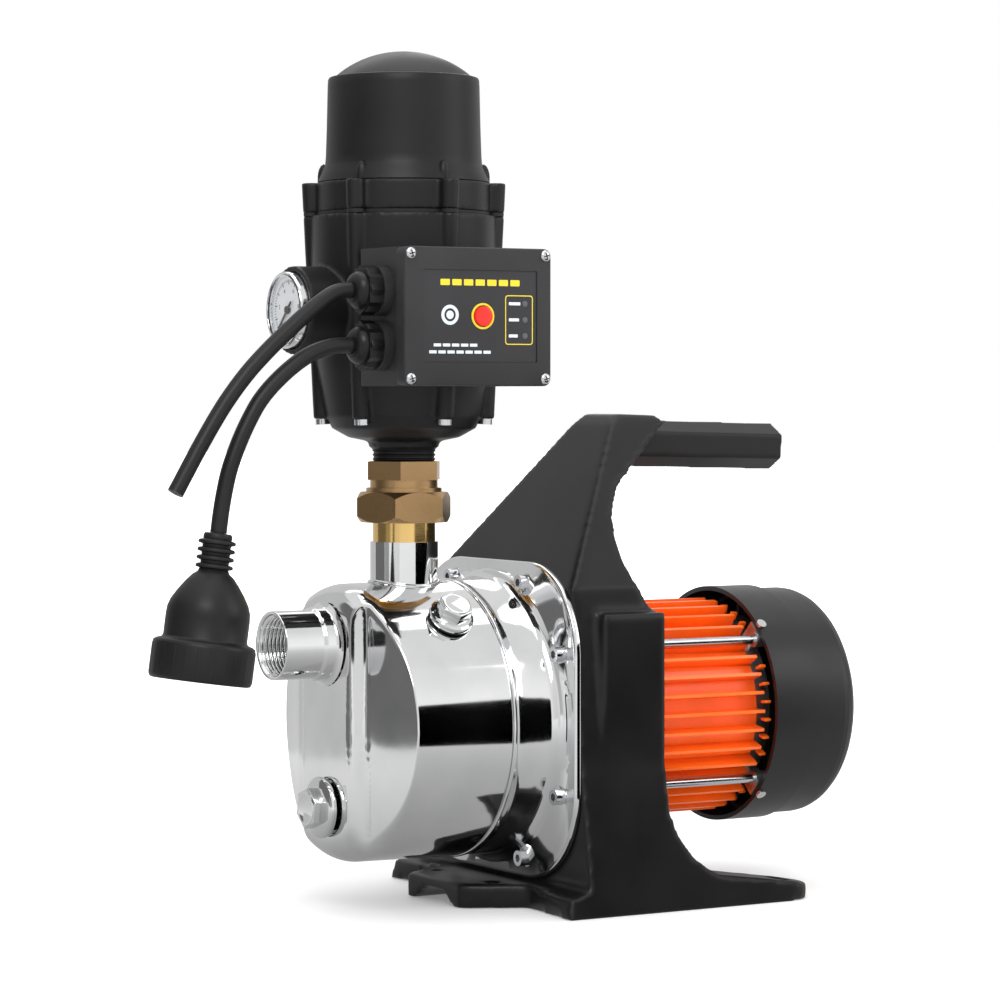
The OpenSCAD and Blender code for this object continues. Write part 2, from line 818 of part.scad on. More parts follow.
module tie_rods() color("silver") at_pump() at_rods()
    rod_x(rod_r, wall_back + 2, shield_back + 6);

module tie_rod_nuts() color("silver") at_pump() at_rods() difference() {
    hex_x(rod_nut_af, shield_back, shield_back + 3.5);
    rod_x(rod_r + fit, shield_back - 2, shield_back + 5);
}

module cooling_fan() color([0.2, 0.2, 0.2]) at_pump() difference() {
    union() {
        rod_x(16, fan_front, fan_back);
        rod_x(fan_r - 6, fan_front + 6, fan_front + 8);
        for (i = [0 : 7]) rotate([i * 45, 0, 0])
            translate([fan_front + 7, -1.2, 12]) cube([fan_back - fan_front - 8, 2.4, fan_r - 12]);
    }
    rod_x(shaft_r - 1.5 + fit, fan_front - 1, fan_back + 1);
}

// Outline of the fan cover as points of radius and X, grown inwards by inset
function cover_outline(inset) = concat(
    [[0, cover_reach - inset]],
    arc(cover_r - 14, cover_reach - 12, 12 - inset, 90, 0, 6),
    [[cover_r - 2 - inset, band_back], [cover_r - inset, band_back - 1],
     [cover_r - inset, cover_front - inset], [0, cover_front - inset]]
);

module fan_cover() color([0.1, 0.1, 0.1]) at_pump() difference() {
    lathe_x(cover_outline(0));
    lathe_x(cover_outline(cover_wall));
    for (ring = [16, 26, 36, 46]) for (i = [0 : ring / 2 - 1]) rotate([i * 720 / ring, 0, 0])
        translate([0, 0, ring]) rod_x(2.5, cover_reach - 6, cover_reach + 1);
    for (a = [45, 135, 225, 315]) rotate([a, 0, 0])
        translate([shield_back - 3, 0, cover_r - 8]) cylinder(r = 2, h = 20);
}

module fan_cover_screws() color("silver") at_pump() {
    for (a = [45, 135, 225, 315]) rotate([a, 0, 0]) translate([shield_back - 3, 0, 0]) {
        translate([0, 0, cover_r - 10]) cylinder(r = 1.45, h = 10);
        translate([0, 0, cover_r]) cylinder(r = 2.8, h = 1.5);
    }
}

module run_capacitor() color("whitesmoke") at_pump() translate([95, 0, -86])
    rod_y_axis(12.5, -32, 32);

// ---------- brass union ----------

module union_tail() color("darkgoldenrod") at_pump() difference() {
    union() {
        translate([0, 0, outlet_top - 12]) cylinder(r = port_bore_r - fit, h = 13);
        translate([0, 0, outlet_top]) cylinder(r = tail_r, h = collar_low - outlet_top + 1);
        translate([0, 0, collar_low]) cylinder(r = 19, h = collar_t);
    }
    cylinder(r = 12.5, h = gasket_low + 1);
}

module union_nut() color("peru") at_pump() difference() {
    intersection() {
        translate([0, 0, nut_low]) rotate(-9) hex_z(nut_af, nut_high - nut_low);
        lathe_z([
            [0, nut_low], [nut_af / 2, nut_low], [nut_af / sqrt(3) + 0.5, nut_low + 4],
            [nut_af / sqrt(3) + 0.5, nut_high - 4], [nut_af / 2, nut_high], [0, nut_high]
        ]);
    }
    translate([0, 0, nut_low - 1]) cylinder(r = tail_r + 0.2, h = nut_high);
    translate([0, 0, collar_low]) cylinder(r = end_thread_r + fit, h = nut_high);
}

module union_gasket() color("darkred") at_pump() difference() {
    translate([0, 0, gasket_low]) cylinder(r = 18.5, h = end_low - gasket_low);
    cylinder(r = 12.8, h = end_low + 1);
}

module union_end() color("peru") at_pump() difference() {
    union() {
        translate([0, 0, end_low]) cylinder(r = end_thread_r, h = nut_high - end_low + 2.2);
        translate([0, 0, nut_high]) cylinder(r = 18.4, h = end_hex_low - nut_high + 1);
        translate([0, 0, end_hex_low]) rotate(-4) hex_z(end_af, control_foot - end_hex_low);
    }
    cylinder(r = 13, h = control_foot + 1);
    translate([0, 0, control_foot - 12]) cylinder(r = joint_r, h = 13);
}

// ---------- pump control ----------

// Outline of the lower housing, as points of radius and height, grown inwards by inset
function bowl_outline(inset) = [
    [0, neck_low + 3.5 + inset], [20 - inset, neck_low + 3.5 + inset],
    [30 - inset, neck_low + 5.5 + inset], [39 - inset, neck_low + 10.5 + inset],
    [control_r - 7.5 - inset, neck_low + 17 + inset], [control_r - 3 - inset, 192],
    [control_r - inset, 220], [control_r - inset, split_rise + inset], [0, split_rise + inset]
];

module lower_housing() color([0.12, 0.12, 0.12]) at_pump() difference() {
    union() {
        difference() {
            lathe_z(bowl_outline(0));
            lathe_z(bowl_outline(control_wall));
        }
        translate([0, 0, seat_rise - 6]) cylinder(r = control_r - 9, h = 6);
        translate([0, 0, neck_low]) cylinder(r = 19, h = 6);
        translate([0, 0, control_foot]) cylinder(r = outlet_r, h = neck_low - control_foot);
        translate([0, 0, control_foot - 11]) cylinder(r = joint_r - fit, h = 11);
        at_bosses() cylinder(r = boss_r, h = split_rise + 5 - boss_low);
        translate([0, 0, side_port_rise]) {
            rod_y_axis(21, control_r - 7, control_r + 8);
            rod_y_axis(outlet_r, control_r - 7, outlet_reach);
            rod_x(gauge_boss_r, -gauge_rim_reach, 8 - control_r);
        }
    }
    translate([0, 0, control_foot - 12]) cylinder(r = 12.5, h = seat_rise);
    translate([0, 0, side_port_rise]) {
        rod_y_axis(side_bore_r, control_r - 8, outlet_reach + 1);
        rod_x(gauge_r + fit, -gauge_rim_reach - 1, 8 - gauge_boss_reach);
        rod_x(4 + fit, -gauge_boss_reach - 1, 9 - control_r);
    }
    at_bosses() {
        translate([0, 0, -1]) cylinder(r = 2.1, h = 130);
        translate([0, 0, -10]) cylinder(r = housing_head_r + 0.1, h = 10);
    }
    slab(split_rise, split_rise + 20);
}

module upper_housing() color([0.12, 0.12, 0.12]) at_pump() difference() {
    union() {
        translate([0, 0, split_rise + diaphragm_t])
            cylinder(r = ring_r, h = ring_top - split_rise - diaphragm_t);
        intersection() {
            at_bosses() cylinder(r = boss_r, h = 140);
            slab(split_rise + diaphragm_t, ring_top);
        }
    }
    translate([0, 0, split_rise]) cylinder(r = ring_r - 9, h = ring_top);
    at_bosses() cylinder(r = 2.1, h = screw_length + 0.5);
}

// Outline of the spring cover as points of radius and height, grown inwards by inset
function cap_outline(inset) = concat(
    [[0, ring_top], [cap_r + 4 - inset, ring_top], [cap_r - inset, ring_top + 9],
     [cap_r - 1.5 - inset, shoulder_z - 3]],
    arc(cap_r - 4.5, shoulder_z - 3, 3 - inset * 0.9, 0, 90, 3),
    arc(0, cap_top - 52, 52 - inset, 46, 90, 8)
);

module spring_cover() color([0.1, 0.1, 0.1]) at_pump() difference() {
    lathe_z(cap_outline(0));
    lathe_z(cap_outline(2.7));
    translate([0, 0, ring_top - 1]) cylinder(r = cap_r - 3, h = 2);
}

module housing_screws() color("silver") at_pump() at_bosses() {
    translate([0, 0, -3]) cylinder(r = housing_head_r, h = 3);
    translate([0, 0, -1]) cylinder(r = 2, h = screw_length + 1);
}

module diaphragm() color("black") at_pump() difference() {
    union() {
        translate([0, 0, split_rise]) cylinder(r = ring_r, h = diaphragm_t);
        translate([0, 0, split_rise]) cylinder(r = 24, h = diaphragm_t + 3);
        intersection() {
            at_bosses() cylinder(r = boss_r - 0.2, h = 140);
            slab(split_rise, split_rise + diaphragm_t);
        }
    }
    at_bosses() cylinder(r = 2.1, h = 140);
}

module pressure_spring() color("silver") at_pump()
    coil(17, 1.6, split_rise + diaphragm_t + 3.2, cap_top - 9, 6, 16);

module flow_valve() color("ivory") at_pump() {
    translate([0, 0, seat_rise + loose]) cylinder(r = valve_r + 4, h = valve_t);
    translate([0, 0, seat_rise - 6 - valve_travel]) cylinder(r = 2, h = 8 + valve_travel);
    translate([0, 0, seat_rise + valve_t]) cylinder(r = 5, h = 6);
    for (a = [0, 90]) translate([0, 0, seat_rise - 8]) rotate(a)
        translate([-valve_r, -1, 3 - valve_travel]) cube([2 * valve_r, 2, 6 + valve_travel]);
}

module valve_spring() color("silver") at_pump()
    coil(8, 0.7, seat_rise + loose + valve_t + 0.2, split_rise - 0.3, 10, 12);

// ---------- pressure gauge ----------

// Children in the gauge's frame: Z out of its face
module at_gauge() {
    translate([-gauge_boss_reach, 0, side_port_rise]) rotate([0, -90, 0]) children();
}

module gauge_case() color([0.75, 0.76, 0.78]) at_pump() at_gauge() difference() {
    union() {
        translate([0, 0, -6]) cylinder(r = gauge_r - 0.5, h = gauge_depth + 4.6);
        translate([0, 0, 4]) cylinder(r = gauge_r, h = gauge_depth - 4);
        translate([0, 0, -20]) cylinder(r = 4, h = 15);
    }
    translate([0, 0, dial_level - 3]) cylinder(r = gauge_r - 1.8, h = gauge_depth);
}

module gauge_dial() color("white") at_pump() at_gauge() difference() {
    translate([0, 0, dial_level - 1]) cylinder(r = gauge_r - 1.9, h = 1);
    translate([0, 0, dial_level - 2]) cylinder(r = 1.4, h = 3);
}

module gauge_needle() color([0.15, 0.15, 0.15]) at_pump() at_gauge() rotate(135) {
    translate([0, 0, dial_level - 2.6]) cylinder(r = 1, h = 4.2);
    translate([0, 0, dial_level + 0.8]) cylinder(r = 2.2, h = 1);
    translate([-6, -0.5, dial_level + 1]) cube([20, 1, 0.6]);
}

module gauge_lens() color([0.8, 0.9, 1, 0.3]) at_pump() at_gauge()
    translate([0, 0, dial_level + 2.3]) cylinder(r = gauge_r - 1.9, h = 2);

// ---------- control box ----------

module control_box() color([0.13, 0.13, 0.13]) at_pump() difference() {
    union() {
        translate([box_left, cover_t - box_reach, box_rise]) cube([box_w, box_d - cover_t, box_h]);
        for (rise = gland_rises) translate([box_left, gland_y, rise])
            rod_x(gland_r, -gland_collar, 1);
    }
    translate([box_left + box_wall, cover_t - box_reach - 1, box_rise + box_wall])
        cube([box_w - 2 * box_wall, box_reach - cover_t - cavity_back + 1, box_h - 2 * box_wall]);
    translate([0, 0, box_rise - 1]) cylinder(r = control_r + fit, h = box_h + 2);
    at_bosses() cylinder(r = boss_r + fit, h = 110);
    for (rise = gland_rises) translate([box_left, gland_y, rise])
        rod_x(9 + fit, -gland_collar - 1, box_wall + 1);
}

module box_cover() color([0.13, 0.13, 0.13]) at_pump() difference() {
    translate([box_left - cover_lip, -box_reach, box_rise]) cube([box_w + 2 * cover_lip, cover_t, box_h]);
    translate([box_left + box_wall, 3 - box_reach, box_rise + box_wall])
        cube([box_w - 2 * box_wall, cover_t, box_h - 2 * box_wall]);
    translate([box_left + 8, -box_reach - 1, box_rise + 12])
        cube([box_w - 20, 1.6, box_h - 22]);
    translate([button_x, 0, button_rise]) rod_y_axis(button_r + loose, -box_reach - 1, -box_reach + 5);
    at_box_corners() rod_y_axis(1.6, -box_reach - 1, -box_reach + 4);
}

module box_screws() color("silver") at_pump() at_box_corners() {
    rod_y_axis(3, -box_reach - 1.6, -box_reach);
    rod_y_axis(1.5, -box_reach - 1, -box_reach + 2.9);
}

module reset_button() color("red") at_pump() translate([button_x, 0, button_rise]) {
    rod_y_axis(button_r, -box_reach - button_travel, 3.8 - box_reach);
    rod_y_axis(button_r + 1.5, 4 - box_reach, 5.5 - box_reach);
    rod_y_axis(button_r - 1, 3 - box_reach, 4.5 - box_reach);
}

module circuit_board() color("darkgreen") at_pump() {
    translate([box_left + 8, 12 - box_reach, box_rise + 8]) cube([box_w - 16, 1.6, box_h - 16]);
    translate([box_left + 20, 13.6 - box_reach, box_rise + 14]) cube([16, 18, 20]);
    translate([box_left + 48, 13.6 - box_reach, box_rise + 20]) cube([14, 12, 26]);
}

module cable_glands() color([0.08, 0.08, 0.08]) at_pump()
    for (rise = gland_rises) translate([box_left, gland_y, rise]) {
        rod_x(9, -gland_collar, box_wall);
        hex_x(gland_af, -gland_collar - gland_nut, -gland_collar);
    }

// ---------- cords ----------

// Moves the cords with the pump, from the place of its axis at which their points are chosen
module at_cords() translate([pump_x, 0, shaft_height] - cord_home) children();

module supply_cord() color([0.09, 0.09, 0.09]) at_cords()
    swept_tube(supply_route, cord_r, 10, [0, 1, 0]);

module outlet_cord() color([0.09, 0.09, 0.09]) at_cords()
    swept_tube(outlet_route, cord_r, 10, [0, 1, 0]);

module cord_socket() color([0.09, 0.09, 0.09]) at_cords() translate(socket_top)
    rotate([0, socket_tilt, 0]) mirror([0, 0, 1]) difference() {
        union() {
            cylinder(r = 8.5, h = 3);
            cylinder(r = 7.5, h = 20);
            for (i = [0 : 3]) translate([0, 0, 5 + i * 4]) cylinder(r = 9.5, h = 2);
            lathe_z([[0, 19], [9.5, 19], [21.5, 39], [21.5, 58], [0, 58]]);
            translate([0, 0, 56]) cylinder(r = 26.5, h = 20);
        }
        translate([0, 0, 62]) cylinder(r = 21, h = 15);
    }

// ---------- the parts ----------

front_casing();
suction_port();
outlet_tube();
casing_flange();
casing_screws();
casing_seal();
filler_plug();
drain_plug();
plug_seals();
jet_body();
jet_nozzle();
venturi_tube();
diffuser();
impeller();
impeller_nut();
seal_plate();
seal_seat();
seal_ring();
stand();
handle();
front_shield();
front_bearing();
rear_bearing();
motor_shaft();
rotor_core();
stator_core();
windings();
motor_housing();
rear_shield();
tie_rods();
tie_rod_nuts();
cooling_fan();
fan_cover();
fan_cover_screws();
run_capacitor();
union_tail();
union_nut();
union_gasket();
union_end();
lower_housing();
upper_housing();
spring_cover();
housing_screws();
diaphragm();
pressure_spring();
flow_valve();
valve_spring();
gauge_case();
gauge_dial();
gauge_needle();
gauge_lens();
control_box();
box_cover();
box_screws();
reset_button();
circuit_board();
cable_glands();
supply_cord();
outlet_cord();
cord_socket();
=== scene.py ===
"""Looks of the shallow well jet pump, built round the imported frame. Metres, in the row frame."""

import json
import math

import bmesh
import bpy
from mathutils import Matrix, Vector


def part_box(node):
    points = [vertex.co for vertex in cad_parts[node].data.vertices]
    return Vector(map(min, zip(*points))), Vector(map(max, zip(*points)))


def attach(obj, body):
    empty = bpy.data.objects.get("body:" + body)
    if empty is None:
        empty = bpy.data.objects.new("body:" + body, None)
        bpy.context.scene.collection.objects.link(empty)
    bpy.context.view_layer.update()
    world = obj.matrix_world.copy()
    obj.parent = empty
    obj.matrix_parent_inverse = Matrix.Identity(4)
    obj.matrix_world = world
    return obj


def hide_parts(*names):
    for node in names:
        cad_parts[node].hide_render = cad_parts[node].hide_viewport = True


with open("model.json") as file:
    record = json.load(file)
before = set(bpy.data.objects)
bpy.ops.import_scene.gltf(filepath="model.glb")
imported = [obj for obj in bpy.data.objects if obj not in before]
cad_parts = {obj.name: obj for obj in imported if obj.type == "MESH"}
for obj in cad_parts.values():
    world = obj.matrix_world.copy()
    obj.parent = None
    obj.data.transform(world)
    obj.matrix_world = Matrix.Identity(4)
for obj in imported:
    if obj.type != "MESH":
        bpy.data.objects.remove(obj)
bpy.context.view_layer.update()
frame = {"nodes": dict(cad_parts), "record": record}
NODES = frame["nodes"]
BODY_OF = {n: b for b, names in frame["record"]["behaviour"]["bodies"].items() for n in names}
SLOT_OF = {s["node"]: s["material_slot"] for s in frame["record"]["subparts"]}
MM = 0.001
TURN = 2 * math.pi


def middle(node):
    """Middle of a CAD node's box."""
    low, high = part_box(node)
    return (low + high) / 2


SHAFT = Vector((0, 0, middle("motor_shaft").z))
OUTLET = Vector((middle("outlet_tube").x, 0, SHAFT.z))


def at(x, y, z):
    """A point given in millimetres from the shaft under the outlet."""
    return OUTLET + Vector((x, y, z)) * MM


# ---------- camera ----------

CAMERA_PLACE = at(-928.2, -1658.8, 175.8)
CAMERA_TARGET = at(44.8, -26.7, 119.4)


def make_camera():
    """The camera at the photograph's angle."""
    data = bpy.data.cameras.new("camera")
    data.sensor_width = 36
    data.lens = 126
    data.clip_start = 0.05
    data.clip_end = 50
    camera = bpy.data.objects.new("camera", data)
    camera.location = CAMERA_PLACE
    camera.rotation_mode = "QUATERNION"
    camera.rotation_quaternion = (CAMERA_TARGET - CAMERA_PLACE).to_track_quat("-Z", "Y")
    bpy.context.scene.collection.objects.link(camera)
    bpy.context.scene.camera = camera


make_camera()


# ---------- materials ----------


def new_material(name):
    """An empty node material and its Principled shader."""
    material = bpy.data.materials.new(name)
    material.use_nodes = True
    return material, material.node_tree.nodes["Principled BSDF"]


def texture(tree, kind, scale, detail=4.0, stretch=None):
    """A texture node in the piece's own coordinates, in cycles per metre."""
    coords = tree.nodes.new("ShaderNodeTexCoord")
    node = tree.nodes.new(kind)
    node.inputs["Scale"].default_value = scale
    if kind == "ShaderNodeTexNoise":
        node.inputs["Detail"].default_value = detail
    source = coords.outputs["Object"]
    if stretch:
        mapping = tree.nodes.new("ShaderNodeMapping")
        mapping.inputs["Scale"].default_value = stretch
        tree.links.new(source, mapping.inputs["Vector"])
        source = mapping.outputs["Vector"]
    tree.links.new(source, node.inputs["Vector"])
    return node


def ramp(tree, source, stops):
    """A colour ramp over a texture's value, from pairs of position and grey or colour."""
    node = tree.nodes.new("ShaderNodeValToRGB")
    while len(node.color_ramp.elements) < len(stops):
        node.color_ramp.elements.new(0.5)
    for element, (place, value) in zip(node.color_ramp.elements, stops):
        element.position = place
        colour = value if isinstance(value, tuple) else (value, value, value)
        element.color = (*colour, 1)
    tree.links.new(source, node.inputs["Fac"])
    return node.outputs["Color"]


def add_bump(tree, shader, source, strength, distance, under=None):
    """Bump from a texture's value, over an earlier bump if one is given."""
    bump = tree.nodes.new("ShaderNodeBump")
    bump.inputs["Strength"].default_value = strength
    bump.inputs["Distance"].default_value = distance
    tree.links.new(source, bump.inputs["Height"])
    if under is not None:
        tree.links.new(under, bump.inputs["Normal"])
    tree.links.new(bump.outputs["Normal"], shader.inputs["Normal"])
    return bump.outputs["Normal"]


def shade(colour, factor):
    """A colour made darker or lighter by a factor."""
    return tuple(c * factor for c in colour)


def mottle(tree, shader, cloud, colour, spread):
    """Faint colour variation that follows a cloud texture."""
    stops = [(0.3, shade(colour, 1 - spread)), (0.7, shade(colour, 1 + spread))]
    tint = ramp(tree, cloud.outputs["Fac"], stops)
    tree.links.new(tint, shader.inputs["Base Color"])


def plastic(name, colour, roughness, grain=900, depth=0.00006, spread=0.25):
    """Moulded plastic: a fine grain, uneven gloss and faint colour variation."""
    material, shader = new_material(name)
    tree = material.node_tree
    shader.inputs["Specular IOR Level"].default_value = 0.32
    cloud = texture(tree, "ShaderNodeTexNoise", 22, 5)
    mottle(tree, shader, cloud, colour, spread)
    gloss = ramp(tree, cloud.outputs["Fac"], [(0.25, roughness - 0.05), (0.75, roughness + 0.06)])
    tree.links.new(gloss, shader.inputs["Roughness"])
    fine = texture(tree, "ShaderNodeTexNoise", grain, 2)
    add_bump(tree, shader, fine.outputs["Fac"], 0.35, depth)
    return material


def metal(name, colour, roughness, grain=400, stretch=None, depth=0.00002, spread=0.06):
    """Bare metal: faint tone changes, uneven polish and a fine lay of marks."""
    material, shader = new_material(name)
    tree = material.node_tree
    shader.inputs["Metallic"].default_value = 1
    cloud = texture(tree, "ShaderNodeTexNoise", 35, 6)
    mottle(tree, shader, cloud, colour, spread)
    marks = texture(tree, "ShaderNodeTexNoise", grain, 3, stretch)
    gloss = ramp(tree, marks.outputs["Fac"], [(0.3, max(roughness - 0.03, 0.01)), (0.75, roughness + 0.05)])
    tree.links.new(gloss, shader.inputs["Roughness"])
    add_bump(tree, shader, marks.outputs["Fac"], 0.2, depth)
    return material


def stainless(name):
    """Polished drawn stainless: a mirror with slow waves from the drawing and faint hairlines."""
    material, shader = new_material(name)
    tree = material.node_tree
    shader.inputs["Metallic"].default_value = 1
    haze = texture(tree, "ShaderNodeTexNoise", 30, 6)
    tint = ramp(tree, haze.outputs["Fac"], [(0.3, (0.74, 0.745, 0.75)), (0.7, (0.83, 0.83, 0.835))])
    tree.links.new(tint, shader.inputs["Base Color"])
    gloss = ramp(tree, haze.outputs["Fac"], [(0.3, 0.055), (0.75, 0.11)])
    tree.links.new(gloss, shader.inputs["Roughness"])
    waves = texture(tree, "ShaderNodeTexNoise", 14, 1)
    slow = add_bump(tree, shader, waves.outputs["Fac"], 0.12, 0.0012)
    hairs = texture(tree, "ShaderNodeTexNoise", 240, 2, (0.12, 1, 1))
    add_bump(tree, shader, hairs.outputs["Fac"], 0.05, 0.00002, slow)
    return material


def paint(name, colour, roughness, coat, grain=500, depth=0.00003, spread=0.07):
    """Sprayed paint: orange-peel bump, a clear coat and slight unevenness of colour."""
    material, shader = new_material(name)
    tree = material.node_tree
    shader.inputs["Coat Weight"].default_value = coat
    shader.inputs["Coat Roughness"].default_value = 0.12
    cloud = texture(tree, "ShaderNodeTexNoise", 40, 4)
    mottle(tree, shader, cloud, colour, spread)
    gloss = ramp(tree, cloud.outputs["Fac"], [(0.3, roughness - 0.04), (0.7, roughness + 0.05)])
    tree.links.new(gloss, shader.inputs["Roughness"])
    peel = texture(tree, "ShaderNodeTexNoise", grain, 2)
    add_bump(tree, shader, peel.outputs["Fac"], 0.3, depth)
    return material


def clear_window(name):
    """A thin clear window with faint smears."""
    material, shader = new_material(name)
    tree = material.node_tree
    shader.inputs["Base Color"].default_value = (0.97, 0.98, 1, 1)
    shader.inputs["Transmission Weight"].default_value = 1
    shader.inputs["IOR"].default_value = 1.2
    smears = texture(tree, "ShaderNodeTexNoise", 60, 3)
    gloss = ramp(tree, smears.outputs["Fac"], [(0.4, 0.02), (0.8, 0.07)])
    tree.links.new(gloss, shader.inputs["Roughness"])
    return material


def windings_material(name):
    """Enamelled copper wire laid in rings round the shaft."""
    material, shader = new_material(name)
    tree = material.node_tree
    wire = texture(tree, "ShaderNodeTexNoise", 60, 2, (14, 1, 1))
    tint = ramp(tree, wire.outputs["Fac"], [(0.35, (0.28, 0.09, 0.03)), (0.65, (0.62, 0.26, 0.1))])
    tree.links.new(tint, shader.inputs["Base Color"])
    shader.inputs["Metallic"].default_value = 0.6
    shader.inputs["Roughness"].default_value = 0.35
    add_bump(tree, shader, wire.outputs["Fac"], 0.6, 0.0004)
    return material


def laminated(name):
    """A stack of stamped steel sheets, edge on."""
    material, shader = new_material(name)
    tree = material.node_tree
    layers = texture(tree, "ShaderNodeTexNoise", 500, 1, (1, 0.02, 0.02))
    tint = ramp(tree, layers.outputs["Fac"], [(0.4, 0.09), (0.6, 0.3)])
    tree.links.new(tint, shader.inputs["Base Color"])
    shader.inputs["Metallic"].default_value = 0.9
    shader.inputs["Roughness"].default_value = 0.42
    add_bump(tree, shader, layers.outputs["Fac"], 0.4, 0.0001)
    return material


LOOKS = {
    "stainless": stainless("stainless"),
    "fastener_steel": metal("fastener_steel", (0.66, 0.67, 0.69), 0.17),
    "seal_rubber": plastic("seal_rubber", (0.012, 0.012, 0.012), 0.55),
    "ceramic": plastic("ceramic", (0.82, 0.8, 0.74), 0.2, 1500, 0.00001, 0.04),
    "moulded_grey": plastic("moulded_grey", (0.09, 0.09, 0.095), 0.45),
    "turned_brass": metal("turned_brass", (0.86, 0.58, 0.22), 0.16, 900, (0.3, 0.3, 3)),
    "hex_brass": metal("hex_brass", (0.5, 0.315, 0.15), 0.3, 700, None, 0.00005, 0.1),
    "impeller_brass": metal("impeller_brass", (0.7, 0.5, 0.22), 0.3),
    "stand_plastic": plastic("stand_plastic", (0.0065, 0.0065, 0.0068), 0.38, 1100, 0.00005),
    "cast_aluminium": metal("cast_aluminium", (0.6, 0.61, 0.62), 0.38, 260, None, 0.00012),
    "core_steel": laminated("core_steel"),
    "copper": windings_material("copper"),
    "motor_orange": paint("motor_orange", (1.0, 0.15, 0.008), 0.32, 0.3),
    "fan_plastic": plastic("fan_plastic", (0.02, 0.02, 0.02), 0.5),
    "cover_black": paint("cover_black", (0.006, 0.006, 0.0062), 0.42, 0.03, 700, 0.00005),
    "capacitor_white": plastic("capacitor_white", (0.74, 0.74, 0.7), 0.4, 700, 0.00003, 0.04),
    "control_plastic": plastic("control_plastic", (0.006, 0.006, 0.0063), 0.42, 1300, 0.00008),
    "valve_plastic": plastic("valve_plastic", (0.72, 0.68, 0.56), 0.4, 700, 0.00003, 0.05),
    "gauge_metal": metal("gauge_metal", (0.78, 0.79, 0.8), 0.1),
    "dial_white": plastic("dial_white", (0.8, 0.8, 0.79), 0.4, 1800, 0.00001, 0.03),
    "needle_black": paint("needle_black", (0.02, 0.02, 0.02), 0.35, 0.2),
    "lens_clear": clear_window("lens_clear"),
    "box_plastic": plastic("box_plastic", (0.024, 0.024, 0.025), 0.46, 1500, 0.00009, 0.2),
    "button_red": plastic("button_red", (0.85, 0.025, 0.018), 0.28, 900, 0.00002, 0.06),
    "board_green": plastic("board_green", (0.02, 0.16, 0.05), 0.35),
    "gland_plastic": plastic("gland_plastic", (0.006, 0.006, 0.0063), 0.34, 900, 0.00004),
    "cord_rubber": plastic("cord_rubber", (0.009, 0.009, 0.0093), 0.4, 1200, 0.00005),
    "socket_rubber": plastic("socket_rubber", (0.007, 0.007, 0.0073), 0.42, 900, 0.00006),
}
LABEL_BLACK = plastic("label_black", (0.026, 0.026, 0.028), 0.36, 2200, 0.00004, 0.15)
PRINT_YELLOW = plastic("print_yellow", (0.75, 0.58, 0.03), 0.45, 1500, 0.00002, 0.08)
PRINT_WHITE = plastic("print_white", (0.62, 0.67, 0.72), 0.45, 1500, 0.00002, 0.06)
PRINT_RED = plastic("print_red", (0.6, 0.03, 0.02), 0.45, 1500, 0.00002, 0.08)
# Dark ink for the dial's print, also used for painted shade in the casing screws' sockets and the cover
# screws' cross recesses.
DARK_PRINT_AND_SHADE = plastic("dark_print_and_painted_shade", (0.03, 0.03, 0.035), 0.45, 1500, 0.00002, 0.08)
LAMP_GREY = plastic("lamp_grey", (0.09, 0.09, 0.095), 0.25, 900, 0.00002, 0.1)
COPPER_CORES = metal("copper_cores", (0.3, 0.13, 0.06), 0.45)


# ---------- making pieces ----------


def smooth(mesh, angle=38):
    """Smooth shading, with edges sharper than the angle left crisp."""
    for polygon in mesh.polygons:
        polygon.use_smooth = True
    mesh.set_sharp_from_angle(angle=math.radians(angle))


def mesh_object(name, bm, material):
    """Turns a bmesh into an object in the scene, with one material."""
    mesh = bpy.data.meshes.new(name)
    bm.to_mesh(mesh)
    bm.free()
    mesh.materials.append(material)
    made = bpy.data.objects.new(name, mesh)
    bpy.context.scene.collection.objects.link(made)
    return made


def piece(name, bm, body, slot, material=None, angle=38):
    """Turns a bmesh into a finished piece that rides on a body."""
    bmesh.ops.remove_doubles(bm, verts=bm.verts, dist=0.000002)
    bmesh.ops.recalc_face_normals(bm, faces=bm.faces)
    made = mesh_object(name, bm, material or LOOKS[slot])
    smooth(made.data, angle)
    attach(made, body)
    return made


def frame_to(origin, direction, up=(0, 0, 1)):
    """Matrix whose Z runs along a direction from an origin."""
    z = Vector(direction).normalized()
    side = Vector(up).cross(z)
    x = (side if side.length > 0.001 else Vector((1, 0, 0))).normalized()
    y = z.cross(x)
    matrix = Matrix((x, y, z)).transposed().to_4x4()
    matrix.translation = Vector(origin)
    return matrix


def add_grid(bm, rows, closed=True, caps=(False, False)):
    """Faces between rows of points; each row is a ring if closed."""
    made = [[bm.verts.new(p) for p in row] for row in rows]
    count = len(rows[0])
    for a, b in zip(made, made[1:]):
        for k in range(count if closed else count - 1):
            n = (k + 1) % count
            quad = [a[k], a[n], b[n], b[k]]
            if len({tuple(round(c, 7) for c in v.co) for v in quad}) > 2:
                bm.faces.new(quad)
    if caps[0]:
        bm.faces.new(made[0][::-1])
    if caps[1]:
        bm.faces.new(made[-1])
    return made


def add_lathe(bm, matrix, profile, segments=96, radius_of=None):
    """A surface of revolution about the matrix's Z; the profile is radius and height in millimetres."""
    rows = []
    for r, h in profile:
        row = []
        for k in range(segments):
            a = TURN * k / segments
            rr = radius_of(r, h, a) if radius_of else r
            row.append(matrix @ Vector((rr * math.cos(a) * MM, rr * math.sin(a) * MM, h * MM)))
        rows.append(row)
    add_grid(bm, rows)


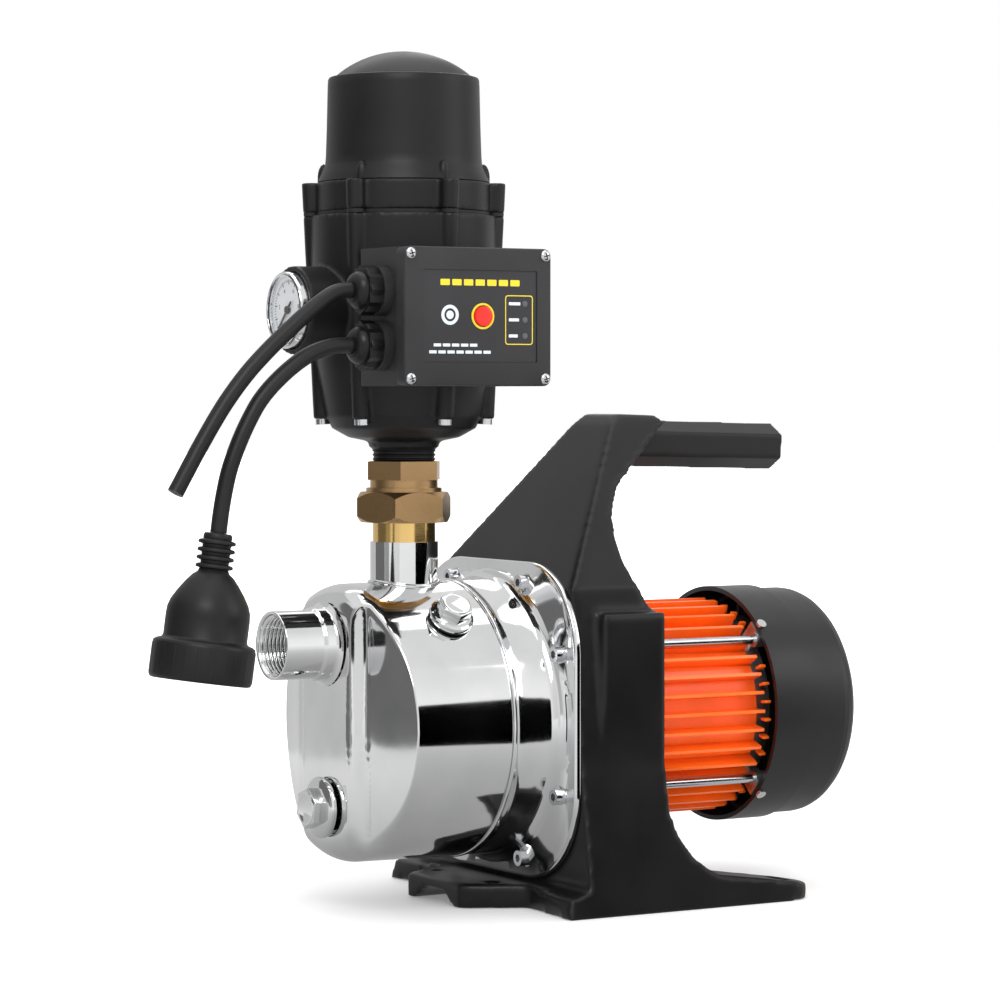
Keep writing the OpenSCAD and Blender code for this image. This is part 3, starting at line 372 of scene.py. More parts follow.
def add_prism(bm, matrix, outline, low, high, bevel=0.0, steps=2):
    """An extruded outline in millimetres, with its two rims rounded off."""
    centre = Vector((sum(p[0] for p in outline), sum(p[1] for p in outline))) / len(outline)
    rows = []

    def row(inset, h):
        points = []
        for x, y in outline:
            d = Vector((x, y)) - centre
            k = max(d.length - inset, 0.01) / max(d.length, 0.01)
            points.append(matrix @ Vector(((centre.x + d.x * k) * MM, (centre.y + d.y * k) * MM, h * MM)))
        return points

    if bevel:
        for i in range(steps + 1):
            a = math.pi / 2 * i / steps
            rows.append(row(bevel * (1 - math.sin(a)), low + bevel * (1 - math.cos(a))))
        for i in range(steps + 1):
            a = math.pi / 2 * i / steps
            rows.append(row(bevel * (1 - math.cos(a)), high - bevel * (1 - math.sin(a))))
    else:
        rows = [row(0, low), row(0, high)]
    add_grid(bm, rows, caps=(True, True))


def rounded_polygon(corners, radius, steps=4):
    """Outline of a polygon with round corners, in order."""
    outline = []
    count = len(corners)
    for i, corner in enumerate(corners):
        c = Vector(corner)
        a = (Vector(corners[i - 1]) - c).normalized()
        b = (Vector(corners[(i + 1) % count]) - c).normalized()
        half = math.acos(max(-1, min(1, a.dot(b)))) / 2
        reach = radius / math.tan(half)
        start, end = c + a * reach, c + b * reach
        for k in range(steps + 1):
            t = k / steps
            outline.append(((1 - t) ** 2) * start + 2 * t * (1 - t) * c + t * t * end)
    return [tuple(p) for p in outline]


def rectangle(x0, y0, x1, y1, radius=0.0, steps=4):
    corners = [(x0, y0), (x1, y0), (x1, y1), (x0, y1)]
    return rounded_polygon(corners, radius, steps) if radius else corners


def hexagon(across_flats, turn=0.0):
    r = across_flats / math.sqrt(3)
    return [(r * math.cos(turn + TURN * k / 6), r * math.sin(turn + TURN * k / 6)) for k in range(6)]


def add_tube(bm, path, radius, sides=16, caps=True):
    """A round tube along points in metres."""
    rows = []
    normal = None
    for i, p in enumerate(path):
        ahead = (path[min(i + 1, len(path) - 1)] - path[max(i - 1, 0)]).normalized()
        if normal is None:
            normal = ahead.orthogonal().normalized()
        normal = (normal - ahead * normal.dot(ahead)).normalized()
        other = ahead.cross(normal)
        rows.append([p + (normal * math.cos(TURN * k / sides) + other * math.sin(TURN * k / sides)) * radius
                     for k in range(sides)])
    add_grid(bm, rows, caps=(caps, caps))


def curve_through(points, steps=5):
    """A smooth curve through points."""
    p = [Vector(q) for q in points]
    line = []
    for i in range(len(p) - 1):
        a, b, c, d = p[max(i - 1, 0)], p[i], p[i + 1], p[min(i + 2, len(p) - 1)]
        for k in range(steps):
            t = k / steps
            line.append(0.5 * (2 * b + (c - a) * t + (2 * a - 5 * b + 4 * c - d) * t * t
                               + (3 * b - a - 3 * c + d) * t ** 3))
    line.append(p[-1])
    return line


def remade(node, name, voxel, rounds, factor=0.5):
    """A moulded copy of a CAD node: its mesh rebuilt in small cells and its edges eased."""
    source = NODES[node]
    mesh = source.data.copy()
    made = bpy.data.objects.new(name, mesh)
    bpy.context.scene.collection.objects.link(made)
    remesh = made.modifiers.new("cells", "REMESH")
    remesh.mode = "VOXEL"
    remesh.voxel_size = voxel * MM
    ease = made.modifiers.new("ease", "SMOOTH")
    ease.factor = factor
    ease.iterations = rounds
    evaluated = made.evaluated_get(bpy.context.evaluated_depsgraph_get())
    final = bpy.data.meshes.new_from_object(evaluated)
    made.modifiers.clear()
    made.data = final
    final.materials.clear()
    for polygon in final.polygons:
        polygon.use_smooth = True
    slot = SLOT_OF[node]
    final.materials.append(LOOKS[slot])
    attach(made, BODY_OF[node])
    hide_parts(node)
    return made


# ---------- cords ----------

SUPPLY_ROUTE = [
    (-0.1525, -0.065, 0.3315), (-0.16, -0.065, 0.3315), (-0.167, -0.065, 0.33), (-0.174, -0.065, 0.326),
    (-0.181, -0.065, 0.321), (-0.188, -0.065, 0.3155), (-0.195, -0.065, 0.3095), (-0.202, -0.065, 0.3035),
    (-0.209, -0.065, 0.297), (-0.216, -0.065, 0.29), (-0.223, -0.065, 0.282), (-0.23, -0.065, 0.273),
    (-0.2365, -0.065, 0.2635), (-0.2425, -0.065, 0.254), (-0.248, -0.065, 0.245), (-0.253, -0.065, 0.2365),
    (-0.258, -0.065, 0.228),
]
OUTLET_ROUTE = [
    (-0.1525, -0.065, 0.303), (-0.16, -0.065, 0.303), (-0.168, -0.065, 0.3025), (-0.176, -0.065, 0.3005),
    (-0.184, -0.065, 0.297), (-0.191, -0.065, 0.2925), (-0.198, -0.065, 0.287), (-0.205, -0.065, 0.2805),
    (-0.211, -0.065, 0.2735), (-0.216, -0.065, 0.2655), (-0.2205, -0.065, 0.257), (-0.2245, -0.065, 0.248),
    (-0.228, -0.065, 0.2385), (-0.2305, -0.065, 0.2285), (-0.2325, -0.065, 0.218), (-0.234, -0.065, 0.2075),
]
CORD_RADIUS = 0.00425


def make_cord(name, route, node, with_pieces):
    """One round sheathed cord along its route."""
    line = curve_through(route)
    bm = bmesh.new()
    add_tube(bm, line, CORD_RADIUS, 24)
    cord = piece(name, bm, "pump", "cord_rubber")
    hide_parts(node)
    return cord


def make_socket():
    """The moulded socket: a ribbed strain relief, a tapered grip and a wide round mouth."""
    end, before = Vector(OUTLET_ROUTE[-1]), Vector(OUTLET_ROUTE[-2])
    matrix = frame_to(end, end - before, (0, 1, 0))
    bm = bmesh.new()
    profile = [(4.3, 0.2), (6.6, 0.2), (7.2, 0.8), (7.4, 2.6)]
    for k in range(4):
        h = 3.4 + 4.1 * k
        profile += [(7.2, h), (9.2, h + 0.5), (9.6, h + 1.3), (9.4, h + 2.2), (7.4, h + 2.7)]
    profile += [
        (8.2, 20.2), (10.6, 22.0), (13.6, 25.6), (17.0, 30.4), (19.8, 35.2), (21.1, 39.0), (21.4, 43),
        (21.4, 53.6), (22.0, 54.8), (24.4, 55.6), (25.9, 56.6), (26.3, 58.2), (26.4, 66), (26.3, 74.2),
        (25.6, 75.6), (24.2, 76), (22.4, 75.6), (21.4, 74.4), (21.0, 72), (21.0, 62.2), (0, 62.2),
    ]
    add_lathe(bm, matrix, profile, 96)
    ribs, mouth_r = 24, 26.3
    for k in range(ribs):
        place = matrix @ Matrix.Rotation(TURN * k / ribs, 4, "Z") @ Matrix.Translation((mouth_r * MM, 0, 0))
        add_prism(bm, place, rectangle(-0.7, -1.1, 0.15, 1.1, 0.35), 58.5, 73.5, 0.15)
    socket = piece("socket_body", bm, "pump", "socket_rubber", angle=50)
    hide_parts("cord_socket")
    bm = bmesh.new()
    for k in range(3):
        turn = matrix @ Matrix.Rotation(TURN * k / 3, 4, "Z") @ Matrix.Translation((8 * MM, 0, 0))
        add_prism(bm, turn, rectangle(-3.2, -0.9, 3.2, 0.9, 0.3), 62.1, 62.9, 0.1)
    contacts = piece("socket_contacts", bm, "pump", "fastener_steel")
    return [socket, contacts]


def make_cords():
    glands = [NODES["cable_glands"]]
    make_cord("supply_flex", SUPPLY_ROUTE, "supply_cord", glands)
    make_cord("outlet_flex", OUTLET_ROUTE, "outlet_cord", make_socket())
    end, before = Vector(SUPPLY_ROUTE[-1]), Vector(SUPPLY_ROUTE[-2])
    matrix = frame_to(end, end - before, (0, 1, 0))
    bm = bmesh.new()
    for k in range(3):
        turn = matrix @ Matrix.Rotation(TURN * k / 3, 4, "Z") @ Matrix.Translation((1.8 * MM, 0, 0))
        add_lathe(bm, turn, [(0, -0.5), (0.9, -0.5), (0.9, 0.12), (0.75, 0.2), (0, 0.2)], 16)
    piece("cord_cores", bm, "pump", "copper", COPPER_CORES)


make_cords()


# ---------- pump casing ----------

NOSE_X = (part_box("front_casing")[0].x - OUTLET.x) / MM
SEAM_X = (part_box("front_casing")[1].x - OUTLET.x) / MM
SEAM_R = (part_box("front_casing")[1].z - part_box("front_casing")[0].z) / MM / 2
BARREL_R = SEAM_R - 0.75
PORT_Z = (middle("suction_port").z - SHAFT.z) / MM
PORT_MOUTH = (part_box("suction_port")[0].x - OUTLET.x) / MM
PORT_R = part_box("suction_port")[1].y / MM


def blend_max(a, b, soft):
    """The larger of two values, with the change between them rounded off."""
    h = max(soft - abs(a - b), 0) / soft
    return max(a, b) + h * h * soft * 0.25


def step(t):
    t = min(max(t, 0), 1)
    return t * t * (3 - 2 * t)


def nose_depth(y, z):
    """How far back the pressed front face lies at a point: a flat band with a scoop on each side."""
    side = abs(y)
    band = 27.5
    drop = 8.5 * step((side - band + 2) / 9) + 8.5 * step((side - band - 6) / 52)
    crown = 0.6 * (side / band) ** 2 if side < band else 0.6
    return NOSE_X + drop + crown * 0.5 + 0.3 * (z / BARREL_R) ** 2


def shoulder(r):
    """How far back the round shoulder lies at a radius."""
    corner = 16
    over = r - (BARREL_R - corner)
    return NOSE_X + (corner - math.sqrt(max(corner * corner - over * over, 0)) if over > 0 else 0)


def make_front_shell():
    """The deep-drawn front shell, open behind and at its ports."""
    segments, rings = 224, 46
    rows = []
    for i in range(rings + 1):
        t = i / rings
        r = BARREL_R * math.sin(t * math.pi / 2) ** 0.9
        row = []
        for k in range(segments):
            a = TURN * k / segments
            y, z = r * math.sin(a), r * math.cos(a)
            row.append(at(blend_max(shoulder(r), nose_depth(y, z), 5), y, z))
        rows.append(row)
    edge = rows[-1]
    for t in (0.02, 0.06, 0.14, 0.3, 0.6, 0.9, 0.985, 1):
        r = BARREL_R + (SEAM_R - BARREL_R) * t
        row = []
        for k in range(segments):
            a = TURN * k / segments
            x = (edge[k].x - OUTLET.x) / MM
            row.append(at(x + (SEAM_X - x) * t, r * math.sin(a), r * math.cos(a)))
        rows.append(row)
    bm = bmesh.new()
    add_grid(bm, rows)
    hole_r = (PORT_R - 3) * MM
    ports = [(at(NOSE_X, 0, PORT_Z), "x"), (at(0, 0, BARREL_R), "z")]
    doomed = []
    for face in bm.faces:
        for place, axis in ports:
            away = face.calc_center_median() - place
            near = away.length < 3 * hole_r
            setattr(away, axis, 0)
            if near and away.length < hole_r:
                doomed.append(face)
                break
    bmesh.ops.delete(bm, geom=doomed, context="FACES")
    shell = piece("front_shell", bm, "pump", "stainless", angle=60)
    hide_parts("front_casing")
    sheet = shell.modifiers.new("sheet", "SOLIDIFY")
    sheet.thickness = 1.2 * MM
    sheet.offset = -1


def make_suction_port():
    """The suction port: a polished outside, a helical thread inside and a weld collar at its root."""
    matrix = frame_to(at(PORT_MOUTH, 0, PORT_Z), (1, 0, 0))
    root = NOSE_X - PORT_MOUTH
    pitch, depth = 2.3, 1.35
    thread_start, thread_end = 1.2, 27
    rows_per_turn, rows = 8, 89
    inner = PORT_R - 2.0

    def threaded(r, h, a):
        if r > inner + 0.01 or h > thread_end or h < thread_start:
            return r
        phase = (h / pitch - a / TURN) % 1
        tooth = abs(2 * phase - 1)
        return r - depth * min(1, max(0, 1.35 * tooth - 0.1)) * step((h - thread_start) / 2)

    profile = [(14.2, 34), (14.2, 28.5), (inner, 27.6)]
    profile += [(inner, thread_end - pitch / rows_per_turn * k) for k in range(1, rows + 1)]
    profile += [
        (inner, 1.0), (inner + 0.7, 0.3), (inner + 1.1, 0.05), (PORT_R - 0.5, 0.0), (PORT_R - 0.1, 0.25),
        (PORT_R, 0.7), (PORT_R, root - 9), (PORT_R + 0.15, root - 8.4), (PORT_R + 0.9, root - 7.6),
        (PORT_R + 1.3, root - 6.4), (PORT_R + 1.3, root - 2.4), (PORT_R + 1.7, root - 1.2),
        (PORT_R + 3.0, root - 0.2), (PORT_R + 4.2, root + 0.6),
    ]
    bm = bmesh.new()
    add_lathe(bm, matrix, profile, 120, threaded)
    port = piece("suction_tube", bm, "pump", "stainless", angle=55)
    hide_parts("suction_port")


def make_outlet_weld():
    """The weld bead where the outlet tube stands on the barrel."""
    path = []
    for k in range(97):
        a = TURN * k / 96
        x, y = (PORT_R + 0.3) * math.cos(a), (PORT_R + 0.3) * math.sin(a)
        path.append(at(x, y, math.sqrt(BARREL_R ** 2 - y * y) + 0.6))
    bm = bmesh.new()
    add_tube(bm, path, 0.0012, 10, caps=False)
    piece("outlet_weld", bm, "pump", "stainless")


def flange_reach(angle, half, corner):
    """Distance from the middle to a rounded square's edge at an angle."""
    c, s = abs(math.cos(angle)), abs(math.sin(angle))
    flat = half / max(c, s)
    across = flat * min(c, s)
    if across <= half - corner:
        return flat
    k = half - corner
    b = k * (c + s)
    return b + math.sqrt(max(b * b - 2 * k * k + corner * corner, 0))


SCREW_RING = 84
SCREW_SPREAD = 18


def make_flange():
    """The rear shell: a seam groove, the barrel, a cove and the pressed square flange."""
    low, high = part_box("casing_flange")
    half = (high.y - low.y) / 2 / MM
    back = (high.x - OUTLET.x) / MM
    front = back - 4
    corner = 50
    base = SEAM_R
    round_rows = [(base - 2.2, SEAM_X + 0.3), (base - 0.5, SEAM_X + 0.3), (base + 0.15, SEAM_X + 0.45),
                  (base + 0.55, SEAM_X + 0.9), (base + 0.6, SEAM_X + 1.8), (base + 0.3, SEAM_X + 2.7),
                  (base - 0.15, SEAM_X + 3.4), (base - 0.2, SEAM_X + 8), (base - 0.2, front - 17),
                  (base + 0.1, front - 14.5)]
    round_rows += [(base + 6 - 6 * math.cos(t * math.pi / 12), front - 11 + 7.5 * math.sin(t * math.pi / 12))
                   for t in range(1, 6)]
    segments = 384
    rows = []
    angles = [TURN * k / segments for k in range(segments)]

    def round_row(r, x):
        return [at(x, r * math.cos(a), r * math.sin(a)) for a in angles]

    rows += [round_row(r, x) for r, x in round_rows]
    cove_r = base + 5.2
    rows.append(round_row(cove_r, front - 3.0))
    edge = [(9, front - 1.6), (6.5, front - 0.4), (2, front), (0.8, front + 0.15), (0.15, front + 0.7),
            (0, front + 1.6), (0, back - 0.8), (0.5, back - 0.1), (1.2, back)]
    for inset, x in edge:
        row = []
        for a in angles:
            r = max(flange_reach(a, half, corner) - inset, cove_r)
            row.append(at(x, r * math.cos(a), r * math.sin(a)))
        rows.append(row)
    rows.append(round_row(base + 1, back))
    bm = bmesh.new()
    add_grid(bm, rows)
    flange = piece("rear_shell", bm, "pump", "stainless", angle=50)
    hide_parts("casing_flange")


# The plugs' heads: the piece, its CAD node and its width across the flats
PLUG_HEADS = [("filler_head", "filler_plug", 16.4), ("drain_head", "drain_plug", 19.8)]


def make_plugs():
    """The two plugs: a domed six-sided head on a wide washer flange."""
    for name, node, across_flats in PLUG_HEADS:
        low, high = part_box(node)
        centre = (low + high) / 2
        if node == "drain_plug":
            direction = Vector((-1, 0, 0))
            seat = Vector((OUTLET.x + NOSE_X * MM, centre.y, centre.z))
        else:
            away = centre - Vector((centre.x, 0, SHAFT.z))
            direction = away.normalized()
            seat = Vector((centre.x, 0, SHAFT.z)) + direction * (BARREL_R + 1.6) * MM
        r = (high.x - low.x if node == "filler_plug" else high.z - low.z) / 2 / MM
        crown = across_flats / 2 - 0.5
        matrix = frame_to(seat, direction)
        bm = bmesh.new()
        washer = [(0, -6), (6.3, -6), (6.3, -0.2), (r - 0.9, 0), (r - 0.2, 0.35), (r, 1.1), (r, 2.2),
                  (r - 0.3, 3.0), (r - 1.3, 3.5), (r - 1.9, 3.9), (0, 3.9)]
        add_lathe(bm, matrix, washer, 72)
        turned = matrix @ Matrix.Rotation(0.35, 4, "Z")
        add_prism(bm, turned, rounded_polygon(hexagon(across_flats), 0.8), 3.6, 10.6, 0.7, 3)
        add_lathe(bm, matrix, [(crown, 10.4), (crown - 0.3, 10.85), (crown - 1, 11.0), (crown - 1.6, 10.8),
                               (0, 10.75)], 48)
        head = piece(name, bm, "pump", "stainless", angle=35)
        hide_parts(node)


make_front_shell()
make_suction_port()
make_outlet_weld()
make_flange()
make_plugs()


# ---------- moulded and cast pieces ----------

remade("stand", "stand_moulding", 2.0, 5)
remade("lower_housing", "control_bowl", 1.1, 2)
remade("upper_housing", "control_ring", 1.1, 2)
remade("handle", "handle_bar", 1.0, 3)


def make_cap():
    """The spring cover: a straight skirt with a flared foot, a crisp shoulder and a low dome."""
    low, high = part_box("spring_cover")
    foot, top = low.z, high.z
    r = (high.x - low.x) / 2 / MM - 4
    base = Vector((OUTLET.x, 0, foot))
    matrix = frame_to(base, (0, 0, 1), (0, 1, 0))
    tall = (top - foot) / MM
    ledge = tall - 14
    profile = [
        (r - 3.5, 0), (r + 3.6, 0), (r + 3.9, 0.4), (r + 3.4, 2), (r + 1.9, 5.5), (r + 0.5, 8.6), (r, 10.2),
        (r - 0.35, 14), (r - 0.9, 30), (r - 1.4, ledge - 5), (r - 1.6, ledge - 1.6), (r - 2.2, ledge - 0.5),
        (r - 3.4, ledge - 0.1), (r - 5.4, ledge),
    ]
    dome_angle, dome_steps, dome_foot = 44, 12, ledge + 0.25
    dome_r = (r - 5.4) / math.sin(math.radians(dome_angle))
    drop = dome_r * (1 - math.cos(math.radians(dome_angle)))
    for k in range(dome_steps + 1):
        a = math.radians(dome_angle * (1 - k / dome_steps))
        share = 1 - (1 - math.cos(a)) * dome_r / drop
        profile.append((dome_r * math.sin(a), dome_foot + (tall - dome_foot) * share))
    bm = bmesh.new()
    add_lathe(bm, matrix, profile, 128)
    cap = piece("spring_cap", bm, "pump", "control_plastic", angle=32)
    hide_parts("spring_cover")


def make_neck_thread():
    """The thread on the control's neck, drawn as rings above the union."""
    crest, root, pitch = 17.3, 16.1, 2.3
    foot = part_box("lower_housing")[0].z
    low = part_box("union_end")[1].z
    turns = 4
    profile = [(root - 2, 0)]
    for k in range(turns):
        z = pitch * k
        profile += [(root, z + 0.05), (crest - 0.2, z + 0.95), (crest, z + 1.1), (crest, z + 1.35),
                    (crest - 0.2, z + 1.5)]
    profile += [(root, turns * pitch + 0.05), (root - 2, turns * pitch + 0.1)]
    bm = bmesh.new()
    add_lathe(bm, frame_to((OUTLET.x, 0, max(foot, low)), (0, 0, 1), (0, 1, 0)), profile, 96)
    piece("neck_thread", bm, "pump", "control_plastic", angle=30)


def make_glands():
    """The two cable glands: a six-sided nut with turned-off corners and a domed cap round the cord."""
    low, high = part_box("cable_glands")
    r = (high.y - low.y) / 2 / MM
    bm = bmesh.new()
    corner = r * MM / math.cos(math.radians(30))
    for z in (low.z + corner, high.z - corner):
        matrix = frame_to((low.x, middle("cable_glands").y, z), (-1, 0, 0))
        add_prism(bm, matrix, hexagon(2 * r * 0.995), -8, -0.6, 0.9, 3)
        dome = [(10.2, -1), (10.1, 0.6), (9.6, 2.2), (8.4, 3.9), (6.6, 5), (4.9, 5.4), (4.3, 5.2), (4.2, 2)]
        add_lathe(bm, matrix, dome, 64)
    piece("gland_nuts", bm, "pump", "gland_plastic", angle=35)


BOSS_TIP_R = 0.0433
BOSS_ANGLES = [math.radians(30 + 60 * k) for k in range(6)]


def make_boss_tips():
    """The half-round tips of the upper housing's bosses, which run up the spring cover's flared foot."""
    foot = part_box("spring_cover")[0].z
    bm = bmesh.new()
    profile = [(3.3, -6), (3.3, 3.5), (3.1, 5.5), (2.5, 7.6), (1.5, 9.4), (0, 10.4)]
    for a in BOSS_ANGLES:
        place = (OUTLET.x + BOSS_TIP_R * math.cos(a), BOSS_TIP_R * math.sin(a), foot)
        add_lathe(bm, frame_to(place, (0, 0, 1), (0, 1, 0)), profile, 32)
    piece("boss_tips", bm, "pump", "control_plastic", angle=40)


def make_screw_sockets():
    """Painted shade in the casing screws' heads: thin dark six-sided plates just inside the heads' faces
    stand for the shade in their sockets.
    """
    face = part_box("casing_screws")[0].x + 0.0005
    bm = bmesh.new()
    for corner in range(4):
        for side in (-1, 1):
            a = math.radians(45 + 90 * corner + side * SCREW_SPREAD)
            place = (face, MM * SCREW_RING * math.sin(a), SHAFT.z + MM * SCREW_RING * math.cos(a))
            add_prism(bm, frame_to(place, (-1, 0, 0)), hexagon(3.9), -0.2, 0)
    piece("screw_socket_painted_shade", bm, "pump", "fastener_steel", DARK_PRINT_AND_SHADE)


def make_rear_fins():
    """The short orange fins behind the housing, just inside the fan cover's rim."""
    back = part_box("motor_housing")[1].x
    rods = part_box("tie_rods")
    rod_angle = math.atan2(rods[1].z - SHAFT.z, rods[1].y)
    inner, outer, half = 54.5, 59, 0.8
    bm = bmesh.new()
    for k in range(36):
        a = TURN * (k + 0.5) / 36
        folded = abs(math.atan2(abs(math.sin(a)), abs(math.cos(a))))
        if abs(folded - rod_angle) < 0.16:
            continue
        outline = rectangle(inner, -half, outer, half, 0.3)
        matrix = frame_to((back + 0.0012, 0, SHAFT.z), (1, 0, 0)) @ Matrix.Rotation(a, 4, "Z")
        add_prism(bm, matrix, outline, 0, 4, 0.2)
    piece("rear_fins", bm, "pump", "motor_orange", angle=35)


make_cap()
make_neck_thread()
make_glands()
make_boss_tips()
make_screw_sockets()
make_rear_fins()


# ---------- gauge ----------

# The dial's scale: its start and sweep in degrees, and its count of steps
DIAL_START, DIAL_SWEEP, DIAL_MARKS = 225, 270, 50


def make_gauge():
    """The gauge's rim and printed dial."""
    low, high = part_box("gauge_case")
    face = Vector((low.x, middle("gauge_case").y, middle("gauge_case").z))
    r = (high.z - low.z) / 2 / MM
    matrix = frame_to(face, (-1, 0, 0))
    bm = bmesh.new()
    profile = [
        (r - 3.6, -5), (r - 2.2, -4.6), (r - 2.1, -1.6), (r - 1.9, -0.5), (r - 1.2, -0.05), (r - 0.5, -0.2),
        (r - 0.05, -0.9), (r, -1.8), (r, -9.4), (r - 0.5, -10), (r - 0.8, -14), (r - 0.8, -19), (4, -19.4),
        (4, -33),
    ]
    add_lathe(bm, matrix, profile, 96)
    rim = piece("gauge_rim", bm, "pump", "gauge_metal", angle=30)
    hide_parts("gauge_case")
    dial = middle("gauge_dial")
    plate = Vector((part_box("gauge_dial")[0].x - 0.00006, dial.y, dial.z))
    flat = frame_to(plate, (-1, 0, 0))
    bm = bmesh.new()
    for k in range(DIAL_MARKS + 1):
        long, wide = (2.6, 0.32) if k % 5 == 0 else (1.4, 0.16)
        turn = flat @ Matrix.Rotation(math.radians(DIAL_START - DIAL_SWEEP * k / DIAL_MARKS), 4, "Z")
        add_prism(bm, turn, rectangle(r - 4.2 - long, -wide, r - 4.2, wide), 0, 0.05)
    piece("dial_marks", bm, "pump", "needle_black", DARK_PRINT_AND_SHADE)
    bm = bmesh.new()
    inner, outer, parts = r - 3.9, r - 3.1, 34
    for k in range(parts):
        a0, a1 = math.radians(45 - 90 * k / parts), math.radians(45 - 90 * (k + 1) / parts)
        outline = [(inner * math.cos(a0), inner * math.sin(a0)), (outer * math.cos(a0), outer * math.sin(a0)),
                   (outer * math.cos(a1), outer * math.sin(a1)), (inner * math.cos(a1), inner * math.sin(a1))]
        add_prism(bm, flat, outline, 0, 0.05)
    piece("dial_red_arc", bm, "pump", "button_red", PRINT_RED)
    number_r, top_number = r - 9.4, 10
    for number in range(0, top_number + 1, 2):
        a = math.radians(DIAL_START - DIAL_SWEEP / top_number * number)
        add_number(str(number), flat, number_r * math.cos(a), number_r * math.sin(a), 3.4)


def add_number(text, matrix, x, y, size):
    """A dial number as a flat mesh, centred at a place in the matrix's plane."""
    curve = bpy.data.curves.new("number", "FONT")
    curve.body = text
    curve.size = size * MM
    curve.align_x = "CENTER"
    curve.align_y = "CENTER"
    curve.extrude = 0.00002
    made = bpy.data.objects.new("number_source", curve)
    bpy.context.scene.collection.objects.link(made)
    mesh = bpy.data.meshes.new_from_object(made.evaluated_get(bpy.context.evaluated_depsgraph_get()))
    bpy.data.objects.remove(made)
    mesh.transform(matrix @ Matrix.Translation((x * MM, y * MM, 0.00002)))
    shown = bpy.data.objects.new(f"dial_number_{text}", mesh)
    bpy.context.scene.collection.objects.link(shown)
    mesh.materials.clear()
    mesh.materials.append(DARK_PRINT_AND_SHADE)
    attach(shown, "pump")


make_gauge()


# ---------- control box face ----------


COVER_LOW, COVER_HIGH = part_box("box_cover")
COVER_WIDE = (COVER_HIGH.x - COVER_LOW.x) / MM
COVER_DEEP = (COVER_HIGH.y - COVER_LOW.y) / MM
COVER_TALL = (COVER_HIGH.z - COVER_LOW.z) / MM
# The cover's own frame: X along it, Y up it and Z out of its face
COVER = Matrix(((1, 0, 0, COVER_LOW.x), (0, 0, -1, COVER_HIGH.y), (0, 1, 0, COVER_LOW.z), (0, 0, 0, 1)))
LABEL_LEVEL = COVER_DEEP - 0.7
LABEL_T = 0.08
PRINT_LEVEL = LABEL_LEVEL + LABEL_T
INK = 0.04


def on_cover(x, y, level):
    """The cover's frame, moved to a place on its face."""
    return COVER @ Matrix.Translation(Vector((x, y, level)) * MM)


def cover_row(outline, inset, level):
    """An outline's points on the cover, drawn in along both axes."""
    cx, cy = COVER_WIDE / 2, COVER_TALL / 2
    points = []
    for x, y in outline:
        px = x - math.copysign(min(inset, abs(x - cx)), x - cx)
        py = y - math.copysign(min(inset, abs(y - cy)), y - cy)
        points.append(COVER @ (Vector((px, py, level)) * MM))
    return points


def make_cover():
    """The cover, with a window sunk for the label."""
    outer = rectangle(0, 0, COVER_WIDE, COVER_TALL, 4.5, 6)
    window = rectangle(10.8, 12, COVER_WIDE - 8.6, COVER_TALL - 11.6, 1, 6)
    edge = [(2.5, 0), (0, 0), (0, COVER_DEEP - 1.6), (0.15, COVER_DEEP - 0.8), (0.6, COVER_DEEP - 0.2),
            (1.4, COVER_DEEP)]
    rim = [(-0.2, COVER_DEEP), (0, COVER_DEEP - 0.15), (0.05, LABEL_LEVEL)]
    rows = [cover_row(outer, inset, level) for inset, level in edge]
    rows += [cover_row(window, inset, level) for inset, level in rim]
    bm = bmesh.new()
    add_grid(bm, rows, caps=(False, True))
    cover = piece("cover_shell", bm, "pump", "box_plastic", angle=30)
    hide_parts("box_cover")


def make_print(name, outlines, slot, material, level=PRINT_LEVEL, thick=INK):
    """Flat shapes laid or printed on the cover."""
    bm = bmesh.new()
    for outline in outlines:
        add_prism(bm, COVER, outline, level, level + thick)
    piece(name, bm, "pump", slot, material)


def make_label():
    """The label's sheet, with plain bars where the words would be."""
    sheet = rectangle(11.2, 12.4, COVER_WIDE - 9, COVER_TALL - 12, 0.8)
    make_print("label_sheet", [sheet], "box_plastic", LABEL_BLACK, LABEL_LEVEL, LABEL_T)
    low, high = COVER_TALL - 19.9, COVER_TALL - 16.7
    title = [rectangle(21.5 + 7 * k, low, 27.1 + 7 * k, high, 0.5) for k in range(7)]
    make_print("title_bars", title, "dial_white", PRINT_YELLOW)
    rating = [rectangle(17.5 + 5.4 * k, 20.4, 21.9 + 5.4 * k, 22, 0.3) for k in range(5)]
    rating += [rectangle(14.8 + 5.4 * k, 16.8, 19.2 + 5.4 * k, 18.4, 0.3) for k in range(7)]
    make_print("rating_bars", rating, "dial_white", PRINT_WHITE)


def make_lamps():
    """Three lamps with their marks, in a printed frame."""
    wide, tall = COVER_WIDE, COVER_TALL
    outer = rectangle(wide - 28, 21.6, wide - 11.2, tall - 24.6, 1.8, 6)
    inner = rectangle(wide - 27.5, 22.1, wide - 11.7, tall - 25.1, 1.4, 6)
    top = PRINT_LEVEL + INK
    bm = bmesh.new()
    add_grid(bm, [cover_row(outer, 0, PRINT_LEVEL), cover_row(outer, 0, top), cover_row(inner, 0, top),
                  cover_row(inner, 0, PRINT_LEVEL)])
    piece("lamp_frame", bm, "pump", "dial_white", PRINT_YELLOW)
    heights = [26.2 + 8.4 * k for k in range(3)]
    profile = [(1.6, 0), (1.6, 0.15), (1.3, 0.45), (0.7, 0.6), (0, 0.65)]
    bm = bmesh.new()
    for y in heights:
        add_lathe(bm, on_cover(wide - 16, y, PRINT_LEVEL), profile, 24)
    piece("lamps", bm, "pump", "dial_white", LAMP_GREY)
    low, high = wide - 25.8, wide - 20.4
    marks = [rectangle(low, y - 0.8, high + 0.8 * k, y + 0.8, 0.3) for k, y in enumerate(heights)]
    make_print("lamp_marks", marks, "dial_white", PRINT_WHITE)


